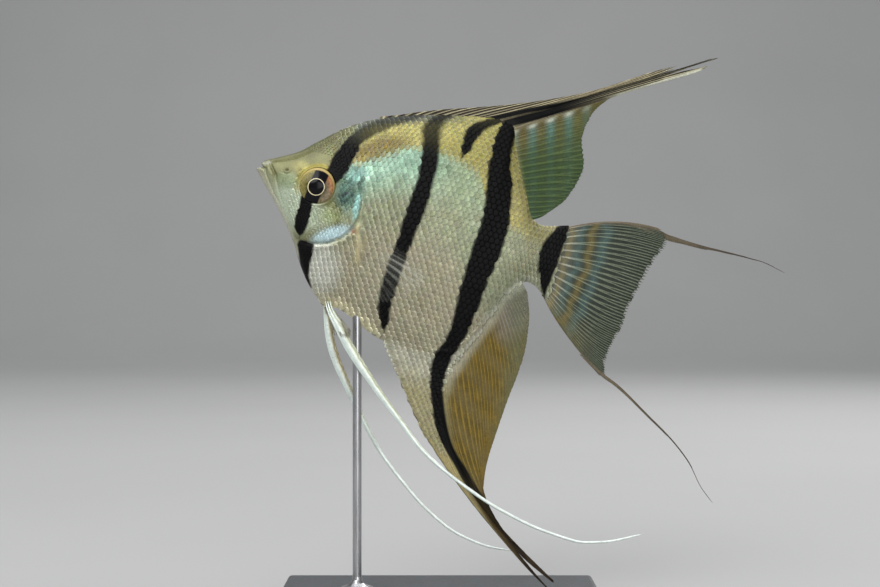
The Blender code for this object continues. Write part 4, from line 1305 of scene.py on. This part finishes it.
def make_stand_looks():
    dark, net = new_look("stand paint", 0.45, 0.1)
    speck = net.noise(900, 4)
    net.surface({
        "Base Color": net.mix(net.ranged(speck, 0.35, 0.7), paint(58, 61, 64), paint(74, 77, 80)),
        "Roughness": net.ranged(speck, 0.3, 0.7, 0.38, 0.55),
    })
    net.bumped(speck, 0.3, 0.0001)
    steel, net = new_look("rod steel", 0.3)
    brush = net.noise(1400, 3, (1, 1, 0.06))
    net.surface({
        "Base Color": net.mix(brush, paint(150, 150, 152), paint(196, 196, 198)),
        "Roughness": net.ranged(brush, 0.3, 0.7, 0.22, 0.4), "Metallic": 1,
    })
    wear(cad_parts["stand_base"], dark)
    wear(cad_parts["stand_rod"], steel)


def make_room():
    """A pale floor that curves up into a wall behind, soft lights and the camera."""
    room, across, along = grid("floor", 4, 40)
    run = along * ROOM_RUN
    bend = np.clip(run - ROOM_FLOOR, 0, ROOM_CURVE * math.pi / 2)
    rest = np.clip(run - ROOM_FLOOR - ROOM_CURVE * math.pi / 2, 0, None)
    back = np.minimum(run, ROOM_FLOOR) + ROOM_FRONT + ROOM_CURVE * np.sin(bend / ROOM_CURVE)
    up = ROOM_CURVE * (1 - np.cos(bend / ROOM_CURVE)) + rest
    set_points(room, np.stack([(across - 0.5) * ROOM_WIDTH, back, up], axis=1))
    room.data.shade_smooth()
    look, net = new_look("pale floor", 0.8)
    net.surface({"Base Color": net.mix(net.noise(6, 3), (0.36, 0.36, 0.355), (0.39, 0.39, 0.385))})
    wear(room, look)
    world = bpy.data.worlds.new("room")
    world.use_nodes = True
    sky = Net(world.node_tree)
    sky.fill(sky.nodes["Background"], {"Color": (0.92, 0.96, 1.0), "Strength": 0.32})
    bpy.context.scene.world = world
    for name, place, aim, size, power in (
        ("light above", (0.1, -0.1, 1.2), FISH_MIDDLE, 0.9, 4.5),
        ("light key", (-0.45, -0.75, 0.85), FISH_MIDDLE, 0.8, 10.0),
        ("light front", (0.3, -1.0, 0.12), FISH_MIDDLE, 0.8, 6.0),
        ("light behind", (0.5, 0.7, 0.7), FISH_MIDDLE, 0.6, 4.0),
        ("light wall", (0.0, 0.6, 1.6), WALL_FOOT, 1.6, 14.0),
    ):
        bpy.ops.object.light_add(type="AREA", location=place)
        light = bpy.context.active_object
        light.name = name
        light.data.size = size
        light.data.energy = power
        way = Vector(aim) - Vector(place)
        light.rotation_euler = way.to_track_quat("-Z", "Y").to_euler()
    bpy.ops.object.camera_add(location=(0, -0.41067, 0.08946), rotation=(math.pi / 2, 0, 0))
    camera = bpy.context.active_object
    camera.data.lens = 60
    camera.data.sensor_width = 36
    camera.data.clip_start = 0.01
    bpy.context.scene.camera = camera
    bpy.context.scene.view_settings.view_transform = "Standard"


make_skin()
make_scales()
make_eyes()
make_fins()
make_stand_looks()
make_room()
